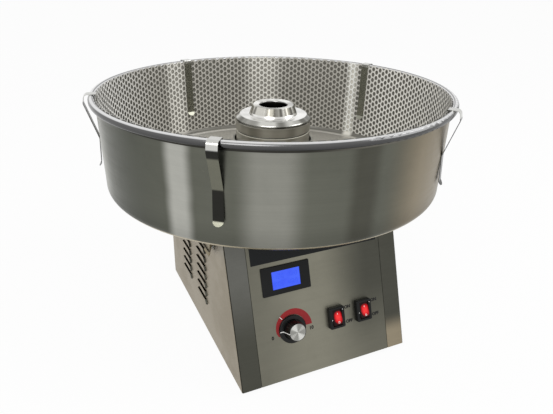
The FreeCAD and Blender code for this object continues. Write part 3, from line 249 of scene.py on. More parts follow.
def build_handling_marks():
    """Soft smudges and a few fine scratches."""
    inputs = [("Place", "Vector", None), ("Scale", "Float", 9.0), ("Amount", "Float", 0.5)]
    tree, given, out = new_group("handling_marks", inputs, [("Mask", "Float"), ("Scratch", "Float")])
    noise = {"Vector": given["Place"], "Scale": given["Scale"], "Detail": 5.0, "Roughness": 0.65, "Distortion": 0.4}
    cloud = add(tree, "TexNoise", noise).outputs[0]
    smudge = span(tree, cloud, 0.42, 0.68)
    plug(tree, calc(tree, "MULTIPLY", smudge, given["Amount"]), out["Mask"])
    thin = calc(tree, "MULTIPLY", given["Scale"], 9.0)
    cell = {"Vector": given["Place"], "Scale": thin, "Randomness": 1.0}
    line = add(tree, "TexVoronoi", cell, feature="DISTANCE_TO_EDGE").outputs["Distance"]
    hair = span(tree, line, 0.0, 0.012, 1.0, 0.0)
    few = span(tree, cloud, 0.55, 0.62)
    scratch = calc(tree, "MULTIPLY", calc(tree, "MULTIPLY", hair, few), given["Amount"])
    plug(tree, scratch, out["Scratch"])
    return tree


def build_worn_metal():
    """Colour and roughness of a metal from its plain colour, its grain and its marks."""
    inputs = [("Color", "Color", (0.5, 0.5, 0.5, 1)), ("Streak", "Float", 0.5), ("Mask", "Float", 0.0),
              ("Scratch", "Float", 0.0), ("Contrast", "Float", 0.12), ("Roughness", "Float", 0.3)]
    tree, given, out = new_group("worn_metal", inputs, [("Color", "Color"), ("Roughness", "Float")])
    swing = calc(tree, "MULTIPLY", calc(tree, "SUBTRACT", given["Streak"], 0.5), given["Contrast"])
    shade = calc(tree, "ADD", swing, 1.0)
    shade = calc(tree, "SUBTRACT", shade, calc(tree, "MULTIPLY", given["Mask"], 0.16))
    shade = calc(tree, "ADD", shade, calc(tree, "MULTIPLY", given["Scratch"], 0.25))
    plug(tree, shaded(tree, given["Color"], shade), out["Color"])
    rough = calc(tree, "MULTIPLY_ADD", given["Streak"], 0.08, given["Roughness"])
    plug(tree, calc(tree, "MULTIPLY_ADD", given["Mask"], 0.14, rough, clamp=True), out["Roughness"])
    return tree


def build_light_streak():
    """One soft streak of painted light and shade in another tone round an axis; its middle and reach are in degrees,
    front 0.
    """
    inputs = [("Turn", "Float", 0.5), ("Middle", "Float", 0.0), ("Reach", "Float", 5.0),
              ("Color", "Color", (0.5, 0.5, 0.5, 1)), ("Streak", "Color", (1, 1, 1, 1))]
    tree, given, out = new_group("light_streak", inputs, [("Color", "Color")])
    degrees = calc(tree, "MULTIPLY_ADD", given["Turn"], 360.0, -180.0)
    away = calc(tree, "ABSOLUTE", calc(tree, "SUBTRACT", degrees, given["Middle"]))
    share = span(tree, calc(tree, "DIVIDE", away, given["Reach"]), 0.3, 1.0, 1.0, 0.0)
    plug(tree, blend(tree, share, given["Color"], given["Streak"]), out["Color"])
    return tree


def build_light_bands():
    """Uneven bands of light and shade round an axis, with no seam at the back."""
    inputs = [("Turn", "Float", 0.5), ("Count", "Float", 10.0), ("Shift", "Float", 0.0), ("Edge", "Float", 0.1)]
    tree, given, out = new_group("light_bands", inputs, [("Light", "Float")])
    angle = calc(tree, "MULTIPLY", given["Turn"], 2 * math.pi)
    reach = calc(tree, "DIVIDE", given["Count"], 2 * math.pi)
    x = calc(tree, "MULTIPLY", calc(tree, "SINE", angle), reach)
    y = calc(tree, "MULTIPLY", calc(tree, "COSINE", angle), reach)
    noise = {"Vector": join(tree, x, y, given["Shift"]), "Scale": 1.0, "Detail": 1.0}
    cloud = add(tree, "TexNoise", noise).outputs[0]
    low = calc(tree, "SUBTRACT", 0.5, given["Edge"])
    plug(tree, span(tree, cloud, low, calc(tree, "ADD", 0.5, given["Edge"])), out["Light"])
    return tree


AROUND_AXIS = build_around_axis()
PANEL_PLACE = build_panel_place()
BRUSHED_GRAIN = build_brushed_grain()
HANDLING_MARKS = build_handling_marks()
WORN_METAL = build_worn_metal()
LIGHT_STREAK = build_light_streak()
LIGHT_BANDS = build_light_bands()


def new_finish(name, **sockets):
    """Material with a Principled shader; keyword names are its sockets with _ for a space."""
    material = bpy.data.materials.new(name)
    material.use_nodes = True
    tree = material.node_tree
    shader = tree.nodes["Principled BSDF"]
    for label, value in sockets.items():
        plug(tree, value, shader.inputs[label.replace("_", " ")])
    return material, tree, shader


def bump(tree, shader, height, strength, distance):
    node = add(tree, "Bump", {"Height": height, "Strength": strength, "Distance": distance})
    plug(tree, node.outputs[0], shader.inputs["Normal"])


def dress_metal(tree, shader, color, grain_place, stretch, contrast, roughness, amount, depth=0.00002):
    """Grain, marks, colour, roughness and bump of a brushed or turned metal."""
    grain = use(tree, BRUSHED_GRAIN, {"Place": grain_place, "Stretch": stretch})
    marks = use(tree, HANDLING_MARKS, {"Place": place(tree), "Amount": amount})
    sockets = {"Color": color, "Streak": grain["Streak"], "Mask": marks["Mask"], "Scratch": marks["Scratch"]}
    sockets.update({"Contrast": contrast, "Roughness": roughness})
    worn = use(tree, WORN_METAL, sockets)
    plug(tree, worn["Color"], shader.inputs["Base Color"])
    plug(tree, worn["Roughness"], shader.inputs["Roughness"])
    bump(tree, shader, grain["Height"], 0.35, depth)


def brushed_metal(name, tone, second, roughness=0.32, stretch=(30, 30, 1600), contrast=0.16, amount=0.5):
    """Metal with a straight grain, its tone drifting between two colours."""
    material, tree, shader = new_finish(name, Metallic=1.0)
    drift = add(tree, "TexNoise", {"Vector": place(tree), "Scale": 7.0, "Detail": 2.0}).outputs[0]
    color = tones(tree, drift, [(0.35, tone), (0.65, second)])
    dress_metal(tree, shader, color, place(tree), stretch, contrast, roughness, amount)
    return material


def moulded(name, tone, second, roughness, grain_scale=1400.0, depth=0.00006, **sockets):
    """Plastic, rubber, paint or card: fine texture and slow changes of tone."""
    material, tree, shader = new_finish(name, **sockets)
    cloud = {"Vector": place(tree), "Scale": 24.0, "Detail": 6.0, "Roughness": 0.6}
    drift = add(tree, "TexNoise", cloud).outputs[0]
    plug(tree, tones(tree, drift, [(0.35, tone), (0.68, second)]), shader.inputs["Base Color"])
    skin = {"Vector": place(tree), "Scale": grain_scale, "Detail": 2.0}
    grain = add(tree, "TexNoise", skin).outputs[0]
    rough = span(tree, drift, 0.3, 0.7, roughness - 0.05, roughness + 0.08)
    plug(tree, rough, shader.inputs["Roughness"])
    bump(tree, shader, grain, 0.4, depth)
    return material


# Finishes of the steel that shows, with painted reflections, highlights and shade. Heights and radii where they change
# are in metres.

BOWL_BEND = (0.292, 0.335)
BOWL_SHADE = (0.4396, 0.4404)
CORNER_RADIUS, FLOOR_HEIGHT = 0.29, 0.3
RIM_HEIGHT, RIM_RADIUS = 0.4447, 0.3098
CLIP_HEIGHT, CLIP_RADIUS = 0.4455, 0.3095
DRUM_SLOT, DRUM_TOP, CAP_HEIGHT = (0.3776, 0.3789), (0.3955, 0.3972), 0.3979
THROAT_HEIGHT, NECK_HEIGHT, LIP_HEIGHT = 0.4, 0.4083, 0.4235
NECK_START = (0.4112, 0.4122)
SPUN_LENGTH, HEAD_LENGTH = 0.9, 0.25

# Tones of painted reflection, and the streaks of it round the bowl's outside: middle and reach in degrees, then tone.
GLOW, SOFT, WARM, DUSK = (175, 175, 168), (140, 140, 132), (135, 125, 105), (80, 80, 72)
BOWL_REFLECTION_STREAKS = [(-100, 20, GLOW), (-50, 5, GLOW), (-25, 10, SOFT), (0, 6, DUSK), (30, 25, WARM), (110, 15, SOFT),
                (160, 10, GLOW), (-150, 10, SOFT)]
# Painted glare inside the bowl: middle and reach in degrees; those narrower than NARROW_GLARE take the narrow tone.
NET_GLARE, NARROW_GLARE = [(120, 3), (160, 10), (-160, 6)], 5
# Painted shade, steel tone and painted highlights round the rim's roll, by angle from straight out.
RIM_SHADE, RIM_STEEL, RIM_LIGHT = 60, 95, 220
RIM_PROFILE = [(-180, RIM_STEEL), (-60, RIM_SHADE), (40, RIM_STEEL), (60, RIM_LIGHT), (90, RIM_LIGHT),
               (105, RIM_STEEL), (130, RIM_LIGHT), (180, RIM_STEEL)]


def streaked(tree, turn, color, streaks):
    """Colour crossed by streaks of light and shade: (middle, reach) in degrees and (r, g, b)."""
    for middle, reach, tone in streaks:
        sockets = {"Turn": turn, "Middle": middle, "Reach": reach, "Color": color, "Streak": paint(*tone)}
        color = use(tree, LIGHT_STREAK, sockets)["Color"]
    return color


def banded(tree, turn, count, shift, edge, dark, light):
    """Uneven painted bands of reflected light and shade round the axis between two colours; a small edge makes them
    crisp.
    """
    bands = use(tree, LIGHT_BANDS, {"Turn": turn, "Count": count, "Shift": shift, "Edge": edge})["Light"]
    return blend(tree, bands, paint(*dark), paint(*light))


def waved_turn(tree, around, swing):
    """Turn with a slow sideways wander, so that bands of tone aren't ruled lines."""
    wave = {"Vector": join(tree, 0.0, 0.0, around["Height"]), "Scale": 14.0, "Detail": 2.0}
    wander = add(tree, "TexNoise", wave).outputs[0]
    return calc(tree, "MULTIPLY_ADD", calc(tree, "SUBTRACT", wander, 0.5), swing, around["Turn"])


def rim_tones(tree, rising, facing):
    """Rolled rim: painted shade below, a painted highlight over the top and another on the inside."""
    stops = [(angle / 360 + 0.5, tone) for angle, tone in greys(RIM_PROFILE, 0)]
    return tones(tree, turn_share(tree, rising, facing), stops, "EASE")


def glare_streaks(narrow, wide):
    """The bands of glare inside the bowl, narrow and wide ones in their own tones."""
    return [(middle, reach, narrow if reach < NARROW_GLARE else wide) for middle, reach in NET_GLARE]


def spun_place(tree, around, length):
    """Coordinates unrolled round the axis, for a grain that runs round it."""
    return join(tree, calc(tree, "MULTIPLY", around["Turn"], length), around["Radius"], around["Height"])


def radial_normal(tree):
    """How far the surface faces away from the upright axis, -1 to 1, and how far it faces up."""
    coords = add(tree, "TexCoord").outputs
    flat = add(tree, "VectorMath", {0: coords["Object"], 1: (1, 1, 0)}, operation="MULTIPLY").outputs[0]
    out = add(tree, "VectorMath", {0: flat}, operation="NORMALIZE").outputs[0]
    facing = add(tree, "VectorMath", {0: coords["Normal"], 1: out}, operation="DOT_PRODUCT").outputs["Value"]
    return facing, split(tree, coords["Normal"])[2]


def spun_bowl():
    """Bowl: upright streaks of painted reflected light and shade outside, darker towards the bottom bend, with painted
    shade just under the rim and a painted highlight on the lower corner; a rolled rim with painted highlights and
    shade; a satin inside painted dark behind the net with painted glare; a polished floor with a painted highlight.
    """
    material, tree, shader = new_finish("spun_bowl")
    around = use(tree, AROUND_AXIS, {"Place": place(tree)})
    height, radius = around["Height"], around["Radius"]
    facing, rising = radial_normal(tree)
    turn = waved_turn(tree, around, 0.007)
    outward = span(tree, facing, -0.2, 0.2)
    # Painted bands and streaks of reflected light and shade round the outside, darker towards the bottom bend.
    steel = banded(tree, turn, 8.0, 3.0, 0.16, (78, 80, 72), (104, 105, 96))
    outside = streaked(tree, turn, steel, BOWL_REFLECTION_STREAKS)
    outside = shaded(tree, outside, span(tree, height, *BOWL_BEND, 0.78, 1.0))
    # Painted shade on the wall just under the rim, darker to the left of the front.
    shade = blend(tree, span(tree, turn, 0.45, 0.5), paint(55, 54, 50), paint(105, 103, 95))
    outside = blend(tree, span(tree, height, *BOWL_SHADE), outside, shade)
    # Painted highlight along the lower corner of the wall.
    outer = calc(tree, "GREATER_THAN", radius, CORNER_RADIUS)
    corner = calc(tree, "MULTIPLY", within(tree, rising, -0.9, -0.5), outer)
    outside = blend(tree, corner, outside, paint(175, 165, 140))
    # Inside wall painted dark as the shade behind the net, with painted glare.
    inside = streaked(tree, turn, paint(110, 108, 100), glare_streaks((225, 222, 212), (158, 155, 147)))
    wall = blend(tree, outward, inside, outside)
    flat = calc(tree, "MULTIPLY", span(tree, rising, 0.8, 0.97), calc(tree, "LESS_THAN", height, FLOOR_HEIGHT))
    # Painted highlight on the polished floor, towards the back left.
    floor = streaked(tree, turn, paint(205, 202, 193), [(-120, 60, (255, 255, 252))])
    surface = blend(tree, flat, wall, floor)
    # Painted highlights and shade on the rolled rim.
    on_rim = calc(tree, "MULTIPLY", calc(tree, "GREATER_THAN", height, RIM_HEIGHT),
                  calc(tree, "GREATER_THAN", radius, RIM_RADIUS))
    surface = blend(tree, on_rim, surface, rim_tones(tree, rising, facing))
    rough = span(tree, calc(tree, "MAXIMUM", flat, on_rim), 0.0, 1.0, 0.30, 0.13)
    metal = span(tree, calc(tree, "MAXIMUM", outward, on_rim), 0.0, 1.0, 0.25, 1.0)
    plug(tree, calc(tree, "MULTIPLY_ADD", flat, -0.2, metal, clamp=True), shader.inputs["Metallic"])
    unrolled = spun_place(tree, around, SPUN_LENGTH)
    dress_metal(tree, shader, surface, unrolled, (26, 700, 1300), 0.08, rough, 0.4)
    return material


def pierced_net():
    """Perforated sheet of the net, with painted light brighter to the sides, three upright bands of painted glare, and
    painted shade where the sheet is seen edge-on and on its outward face.
    """
    material, tree, shader = new_finish("pierced_net", Metallic=0.15)
    around = use(tree, AROUND_AXIS, {"Place": place(tree)})
    facing, _ = radial_normal(tree)
    turn = waved_turn(tree, around, 0.012)
    # Painted highlights to the sides and painted glare.
    side_highlights = [(-95, 62, (255, 254, 250)), (85, 45, (250, 248, 242))]
    glare = glare_streaks((255, 255, 250), (232, 230, 222))
    net_painted_light = streaked(tree, turn, paint(185, 182, 174), side_highlights + glare)
    # Painted shade where the sheet turns edge-on, in the holes.
    net_painted_light = shaded(tree, net_painted_light, span(tree, calc(tree, "ABSOLUTE", facing), 0.35, 0.85, 0.5, 1.0))
    # Outward face painted dark as shade.
    net_painted_light = blend(tree, span(tree, facing, 0.3, 0.7), net_painted_light, paint(104, 103, 95))
    unrolled = spun_place(tree, around, SPUN_LENGTH)
    dress_metal(tree, shader, net_painted_light, unrolled, (40, 300, 500), 0.10, 0.34, 0.3)
    return material


def spring_strip():
    """Clips: painted highlight over the rim and on top of the inner leg, steel tone down the slope and at the curled
    end, painted shade on the upright parts and deeper painted shade on the outer face of the clips at the sides.
    """
    material, tree, shader = new_finish("spring_strip", Metallic=1.0)
    around = use(tree, AROUND_AXIS, {"Place": place(tree)})
    height, turn = around["Height"], around["Turn"]
    dark, steel, pale, bright = (45, 45, 42), (110, 110, 98), (140, 140, 128), (200, 200, 196)
    # Painted highlight, steel tone and painted shade by height on the outer face.
    outer = length_tones(tree, height, [
        (325, steel), (334, steel), (337, dark), (381, dark), (384, steel), (431, steel), (434, dark), (444, dark),
        (446, bright), (460, bright)])
    # Painted shade on the clips at the sides.
    shady = streaked(tree, turn, outer, [(-100, 25, dark), (40, 35, dark)])
    outer = blend(tree, calc(tree, "GREATER_THAN", height, CLIP_HEIGHT), shady, outer)
    # Inner leg: pale steel with a painted highlight at the top.
    inner = length_tones(tree, height, [(325, steel), (335, pale), (449, pale), (453, bright), (460, bright)])
    color = blend(tree, calc(tree, "GREATER_THAN", around["Radius"], CLIP_RADIUS), inner, outer)
    dress_metal(tree, shader, color, place(tree), (60, 60, 260), 0.08, 0.16, 0.3)
    return material


def head_polish():
    """Head: painted stripes of reflected light on the turned neck, whose foot takes the shoulder's painted light as a
    fillet; softer painted bands on the shoulder and the lip, painted shade down the throat, and a satin drum with
    painted bands, a paler line at the slot and a painted highlight along its top.
    """
    material, tree, shader = new_finish("head_polish")
    around = use(tree, AROUND_AXIS, {"Place": place(tree)})
    turn, height = around["Turn"], around["Height"]
    facing, rising = radial_normal(tree)
    flat = span(tree, rising, 0.88, 0.96)
    # Painted bands of reflected light on the shoulder's top, its slope and the neck.
    top = banded(tree, turn, 6.0, 2.0, 0.14, (200, 199, 195), (250, 249, 246))
    slope = banded(tree, turn, 12.0, 5.0, 0.10, (112, 111, 105), (205, 204, 198))
    neck = banded(tree, turn, 18.0, 8.0, 0.06, (100, 98, 91), (205, 203, 195))
    # Painted shoulder light on the neck's foot, standing for a fillet.
    neck = blend(tree, level(tree, height, *NECK_START), top, neck)
    cap = blend(tree, calc(tree, "GREATER_THAN", height, NECK_HEIGHT), blend(tree, flat, slope, top), neck)
    lip = calc(tree, "MULTIPLY", calc(tree, "GREATER_THAN", height, LIP_HEIGHT), span(tree, rising, 0.55, 0.8))
    cap = blend(tree, lip, cap, banded(tree, turn, 6.0, 11.0, 0.12, (175, 173, 168), (240, 239, 234)))
    # Painted shade, darker down the throat.
    mottle = add(tree, "TexNoise", {"Vector": place(tree), "Scale": 90.0, "Detail": 3.0}).outputs[0]
    wavy = calc(tree, "MULTIPLY_ADD", calc(tree, "SUBTRACT", mottle, 0.5), 0.003, height)
    throat = length_tones(tree, wavy, greys([(400, 8), (421.4, 22), (422.6, 120), (428, 215)], 4))
    inward = calc(tree, "MULTIPLY", calc(tree, "LESS_THAN", facing, -0.25),
                  calc(tree, "GREATER_THAN", height, THROAT_HEIGHT))
    cap = blend(tree, calc(tree, "MULTIPLY", inward, calc(tree, "SUBTRACT", 1.0, lip)), cap, throat)
    # Painted bands on the drum, a paler line at the slot and a painted highlight along its top.
    drum = banded(tree, turn, 9.0, 14.0, 0.12, (112, 108, 96), (158, 154, 141))
    drum = blend(tree, within(tree, height, *DRUM_SLOT), drum, paint(190, 187, 172))
    drum = blend(tree, span(tree, height, *DRUM_TOP), drum, paint(196, 194, 184))
    on_cap = calc(tree, "GREATER_THAN", height, CAP_HEIGHT)
    metal = span(tree, on_cap, 0.0, 1.0, 0.4, 1.0)
    plug(tree, calc(tree, "SUBTRACT", metal, calc(tree, "MULTIPLY", flat, 0.4)), shader.inputs["Metallic"])
    rough = span(tree, on_cap, 0.0, 1.0, 0.30, 0.14)
    color = blend(tree, on_cap, drum, cap)
    dress_metal(tree, shader, color, spun_place(tree, around, HEAD_LENGTH), (20, 900, 1400), 0.10, rough, 0.3)
    return material


def side_sheet():
    """Side panels: brushed steel with painted reflections, warm on the flanks and cooler near the top under the bowl;
    dim painted shade on the strips that wrap round the front, cooler higher on the left strip and warm low on the
    right one; a painted dark line of shade along the bend.
    """
    material, tree, shader = new_finish("side_sheet", Metallic=1.0)
    x, _, z = split(tree, place(tree))[:3]
    sway = add(tree, "TexNoise", {"Vector": place(tree), "Scale": 3.0, "Detail": 2.0}).outputs[0]
    lifted = calc(tree, "MULTIPLY_ADD", calc(tree, "SUBTRACT", sway, 0.5), 0.05, z)
    warm, cool_reflection, painted_dim = paint(145, 135, 115), paint(105, 105, 100), paint(75, 75, 68)
    # Painted reflections and shade: warm low, cooler near the top under the bowl, dim on the front strips.
    flank = blend(tree, span(tree, lifted, 0.2, 0.28), warm, cool_reflection)
    left_strip = blend(tree, span(tree, lifted, 0.08, 0.2), painted_dim, cool_reflection)
    right_strip = blend(tree, span(tree, lifted, 0.04, 0.08), warm, painted_dim)
    strip = blend(tree, calc(tree, "GREATER_THAN", x, 0.0), left_strip, right_strip)
    to_side = calc(tree, "ABSOLUTE", split(tree, add(tree, "TexCoord").outputs["Normal"])[0])
    color = blend(tree, span(tree, to_side, 0.55, 0.9), strip, flank)
    # Painted dark line of shade along the bend to the front strip.
    color = blend(tree, within(tree, to_side, 0.35, 0.92), color, paint(50, 50, 45))
    dress_metal(tree, shader, color, place(tree), (26, 26, 1500), 0.07, 0.34, 0.5)
    return material


def control_sheet():
    """Control panel: even brushed steel with painted shade falling off to the right, more so under the bowl, and a
    little at the left edge.
    """
    material, tree, shader = new_finish("control_sheet", Metallic=1.0)
    spot = use(tree, PANEL_PLACE, {"Place": place(tree)})
    sway = add(tree, "TexNoise", {"Vector": place(tree), "Scale": 4.0, "Detail": 2.0}).outputs[0]
    drift = calc(tree, "MULTIPLY_ADD", calc(tree, "SUBTRACT", sway, 0.5), 0.03, spot["Across"])
    lit, painted_dim = paint(130, 128, 115), paint(75, 75, 68)
    # Painted shade to the right and under the bowl.
    painted_fall_off = calc(tree, "MULTIPLY", span(tree, drift, 0.0, 0.1), span(tree, spot["Up"], 0.0, 0.15, 0.5, 1.0))
    color = blend(tree, span(tree, drift, -0.13, -0.03, 0.4, 0.0), blend(tree, painted_fall_off, lit, painted_dim), painted_dim)
    dress_metal(tree, shader, color, place(tree), (26, 800, 900), 0.07, 0.36, 0.45)
    return material


def spun_disc():
    """Knob's cap: turned aluminium with opposite painted wedges of reflected light."""
    material, tree, shader = new_finish("spun_disc", Metallic=1.0, Anisotropic=0.5)
    sockets = {"Place": place(tree), "Across": KNOB_AT[0] * MM, "Up": KNOB_AT[1] * MM}
    spot = use(tree, PANEL_PLACE, sockets)
    pale, bright = (175, 175, 170), (210, 210, 205)
    # Painted wedges of reflected light.
    wedges = streaked(tree, spot["Turn"], paint(145, 145, 140), [
        (-60, 40, bright), (120, 40, bright), (-150, 25, pale), (30, 25, pale)])
    rings = calc(tree, "MULTIPLY", spot["Radius"], 3.0)
    dress_metal(tree, shader, wedges, join(tree, rings, 0.0, 0.0), (900, 1, 1), 0.14, 0.24, 0.2)
    return material


def lit_rocker(at):
    """Red rocker, lit from behind in its middle, dark towards its edges."""
    material, tree, shader = new_finish("lit_rocker", Roughness=0.35, Specular_IOR_Level=0.1)
    middle = (at[0] + 1.7, at[1] + 0.4)
    half_wide, half_tall, square = 0.0076, 0.0100, 2.6
    spot = use(tree, PANEL_PLACE, {"Place": place(tree), "Across": middle[0] * MM, "Up": middle[1] * MM})
    across = calc(tree, "POWER", calc(tree, "DIVIDE", calc(tree, "ABSOLUTE", spot["Across"]), half_wide), square)
    up = calc(tree, "POWER", calc(tree, "DIVIDE", calc(tree, "ABSOLUTE", spot["Up"]), half_tall), square)
    mottle = add(tree, "TexNoise", {"Vector": place(tree), "Scale": 260.0, "Detail": 2.0}).outputs[0]
    reach = calc(tree, "ADD", calc(tree, "ADD", across, up), calc(tree, "MULTIPLY_ADD", mottle, 0.5, -0.25))
    glow = tones(tree, calc(tree, "DIVIDE", reach, 1.4), [
        (0.0, (250, 60, 60)), (0.4, (195, 15, 25)), (1.0, (20, 5, 5))])
    plug(tree, glow, shader.inputs["Emission Color"])
    shader.inputs["Emission Strength"].default_value = 0.95
    plug(tree, tones(tree, reach, [(0.5, (50, 4, 8)), (0.9, (16, 6, 7))]), shader.inputs["Base Color"])
    return material


def lit_screen():
    """Blue backlit screen, a little uneven."""
    material, tree, shader = new_finish("lit_screen", Roughness=0.2)
    shader.inputs["Emission Strength"].default_value = 0.93
    cloud = add(tree, "TexNoise", {"Vector": place(tree), "Scale": 60.0, "Detail": 3.0}).outputs[0]
    glow = tones(tree, cloud, [(0.3, (40, 80, 250)), (0.7, (54, 96, 254))])
    plug(tree, glow, shader.inputs["Emission Color"])
    plug(tree, tones(tree, cloud, [(0.3, (8, 14, 44)), (0.7, (10, 18, 52))]), shader.inputs["Base Color"])
    return material


def print_ink(name, tone, second):
    """Screen printing, slightly uneven."""
    return moulded(name, tone, second, 0.42, 900.0, 0.00003, Specular_IOR_Level=0.2)


FINISHES = {
    "brushed_panel": brushed_metal("brushed_sheet", (112, 111, 101), (124, 122, 111), 0.36),
    "spun_steel": brushed_metal("plain_spun_steel", (128, 128, 118), (140, 139, 130), 0.3),
    "net_steel": pierced_net(),
    "spring_steel": spring_strip(),
    "zinc_steel": brushed_metal("zinc_plate", (150, 151, 144), (168, 167, 156), 0.4, (90, 90, 90), 0.2, 0.7),
    "bright_steel": brushed_metal("ground_steel", (176, 177, 174), (190, 190, 186), 0.2, (20, 20, 1800), 0.1, 0.3),
    "head_alloy": head_polish(),
    "cap_alloy": spun_disc(),
    "cast_alloy": brushed_metal("cast_alloy", (146, 147, 146), (162, 162, 160), 0.5, (260, 260, 260), 0.28, 0.6),
    "motor_paint": moulded("motor_enamel", (42, 45, 48), (50, 53, 56), 0.4, Coat_Weight=0.3),
    "lamination": brushed_metal("stacked_sheets", (96, 98, 102), (112, 113, 116), 0.42, (10, 10, 2600), 0.4, 0.5),
    "copper_alloy": brushed_metal("worn_brass", (190, 136, 84), (206, 152, 98), 0.24, (30, 30, 2200), 0.2, 0.5),
    "ribbon_alloy": brushed_metal("heated_ribbon", (104, 94, 88), (128, 116, 104), 0.38, (300, 300, 60), 0.3, 0.8),
    "carbon": moulded("pressed_carbon", (34, 34, 35), (44, 44, 45), 0.55, 2200.0),
    "insulation": moulded("laminated_board", (126, 82, 48), (142, 96, 58), 0.48, 700.0),
    "case_black": moulded("case_black", (13, 14, 14), (18, 19, 19), 0.36, 1600.0, Specular_IOR_Level=0.18),
    "knob_black": moulded("knob_black", (8, 8, 8), (12, 12, 12), 0.24, 1500.0, 0.00003, Specular_IOR_Level=0.25),
    "screen_blue": lit_screen(),
    "rocker_red": lit_rocker(SWITCHES_AT["heat"]),
    "card_green": moulded("card_green", (24, 78, 48), (34, 94, 58), 0.38, 500.0, Coat_Weight=0.3),
    "soft_rubber": moulded("soft_rubber", (28, 28, 28), (38, 38, 37), 0.72, 900.0, 0.0001),
    "gland_nylon": moulded("gland_nylon", (30, 31, 32), (38, 39, 40), 0.46, 1300.0),
}
NODE_FINISHES = {
    "bowl": spun_bowl(),
    "side_panel_left": side_sheet(),
    "control_panel": control_sheet(),
    "motor_rocker": lit_rocker(SWITCHES_AT["motor"]),
}
NODE_FINISHES["side_panel_right"] = NODE_FINISHES["side_panel_left"]
for side in ("left", "right"):
    NODE_FINISHES["catch_lever_" + side] = brushed_metal("catch_lever_" + side, (138, 128, 104), (150, 139, 114), 0.34)
    NODE_FINISHES["catch_loop_" + side] = brushed_metal("catch_wire_" + side, (84, 78, 64), (98, 90, 74), 0.3)
INK_BLACK = print_ink("ink_black", (18, 18, 18), (24, 24, 24))
INK_RED = print_ink("ink_red", (132, 32, 36), (144, 38, 40))
INK_WHITE = print_ink("ink_white", (226, 226, 222), (236, 236, 232))
BAND_BLACK = moulded("band_black", (16, 19, 21), (22, 25, 26), 0.28, 700.0, 0.00002, Specular_IOR_Level=0.18)
LCD_DARK = moulded("screen_digits", (30, 66, 196), (36, 72, 204), 0.3)
LCD_SOCKETS = LCD_DARK.node_tree.nodes["Principled BSDF"].inputs
LCD_SOCKETS["Emission Color"].default_value = paint(30, 66, 204)
LCD_SOCKETS["Emission Strength"].default_value = 0.7
# Dark paint in the screws' cross recesses, standing for their shade.
RECESS_SHADE = moulded("recess_shade", (30, 30, 29), (40, 40, 38), 0.5)

SLOTS = {row["node"]: row["material_slot"] for row in frame["record"]["subparts"]}


def dress_nodes():
    for name, node in frame["nodes"].items():
        finish = NODE_FINISHES.get(name) or FINISHES[SLOTS[name]]
        node.data.materials.clear()
        node.data.materials.append(finish)


# Pieces

def new_piece(name, points, faces, finish, body):
    """Mesh piece from points in millimetres, riding on a body."""
    mesh = bpy.data.meshes.new(name)
    mesh.from_pydata([Vector(p) * MM for p in points], [], faces)
    mesh.validate()
    mesh.materials.append(finish)
    piece = bpy.data.objects.new(name, mesh)
    bpy.context.collection.objects.link(piece)
    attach(piece, body)
    return piece


def on_panel(across, up, out=0.0):
    return PANEL_FOOT + Vector((across, 0, 0)) + PANEL_UP * up + PANEL_OUT * out


def slab(outlines, low, high, lay):
    """Points and faces of flat plates with the given outlines, between two levels."""
    points, faces = [], []
    for outline in outlines:
        start, count = len(points), len(outline)
        points += [lay(a, b, low) for a, b in outline] + [lay(a, b, high) for a, b in outline]
        faces.append([start + count + i for i in range(count)])
        faces.append([start + i for i in reversed(range(count))])
        for i in range(count):
            after = (i + 1) % count
            faces.append([start + i, start + after, start + count + after, start + count + i])
    return points, faces


def rectangle(low, high):
    return [(low[0], low[1]), (high[0], low[1]), (high[0], high[1]), (low[0], high[1])]


def net_point(column, height):
    """Point on the net's outer face; columns may be fractions, height in millimetres."""
    share = (height - NET_LOW) / (NET_HIGH - NET_LOW)
    radius = NET_LOW_RADIUS + share * (NET_HIGH_RADIUS - NET_LOW_RADIUS)
    turn = 2 * math.pi * column / NET_COLUMNS
    return Vector((radius * math.sin(turn), -radius * math.cos(turn), height))


def make_net():
    """Net of staggered round holes, six five-sided faces round each, cut off level at both edges."""
    wide = 2 * math.pi * WALL_RADIUS / NET_COLUMNS
    narrow, corner = NET_CELL[0] / wide, NET_CELL[1] / wide
    half = NET_PITCH / 2
    hexagon = [(narrow, half), (-narrow, half), (-corner, 0), (-narrow, -half), (narrow, -half), (corner, 0)]
    turns = [math.atan2(h, c * wide) for c, h in hexagon]
    points, faces, known = [], [], {}

    def point(column, height):
        key = (round(column % NET_COLUMNS, 3) % NET_COLUMNS, round(height, 2))
        if key not in known:
            known[key] = len(points)
            points.append(net_point(column, height))
        return known[key]

    for column in range(NET_COLUMNS):
        for row in range(NET_ROWS):
            middle = NET_TOP_ROW - row * NET_PITCH - (half if column % 2 else 0)
            outer = [point(column + c, middle + h) for c, h in hexagon]
            ring = []
            for i, turn in enumerate(turns):
                gap = (turns[(i + 1) % 6] - turn) % (2 * math.pi)
                for angle in (turn, turn + gap / 2):
                    reach = (NET_HOLE[0] * math.cos(angle) / wide, NET_HOLE[1] * math.sin(angle))
                    ring.append(point(column + reach[0], middle + reach[1]))
            for i in range(6):
                after = (i + 1) % 6
                faces.append([outer[i], outer[after], ring[2 * after], ring[2 * i + 1], ring[2 * i]])
    net = new_piece("net", points, faces, FINISHES["net_steel"], "bowl")
    cut = bmesh.new()
    cut.from_mesh(net.data)
    for edge, up in ((NET_HIGH, 1), (NET_LOW, -1)):
        whole = [*cut.verts, *cut.edges, *cut.faces]
        bmesh.ops.bisect_plane(cut, geom=whole, plane_co=(0, 0, edge * MM), plane_no=(0, 0, up), clear_outer=True)
    cut.to_mesh(net.data)
    cut.free()
    thick = net.modifiers.new("sheet", "SOLIDIFY")
    thick.thickness, thick.offset = NET_THICK * MM, 0.0
    thick.use_even_offset = False
    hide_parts("bowl_net")


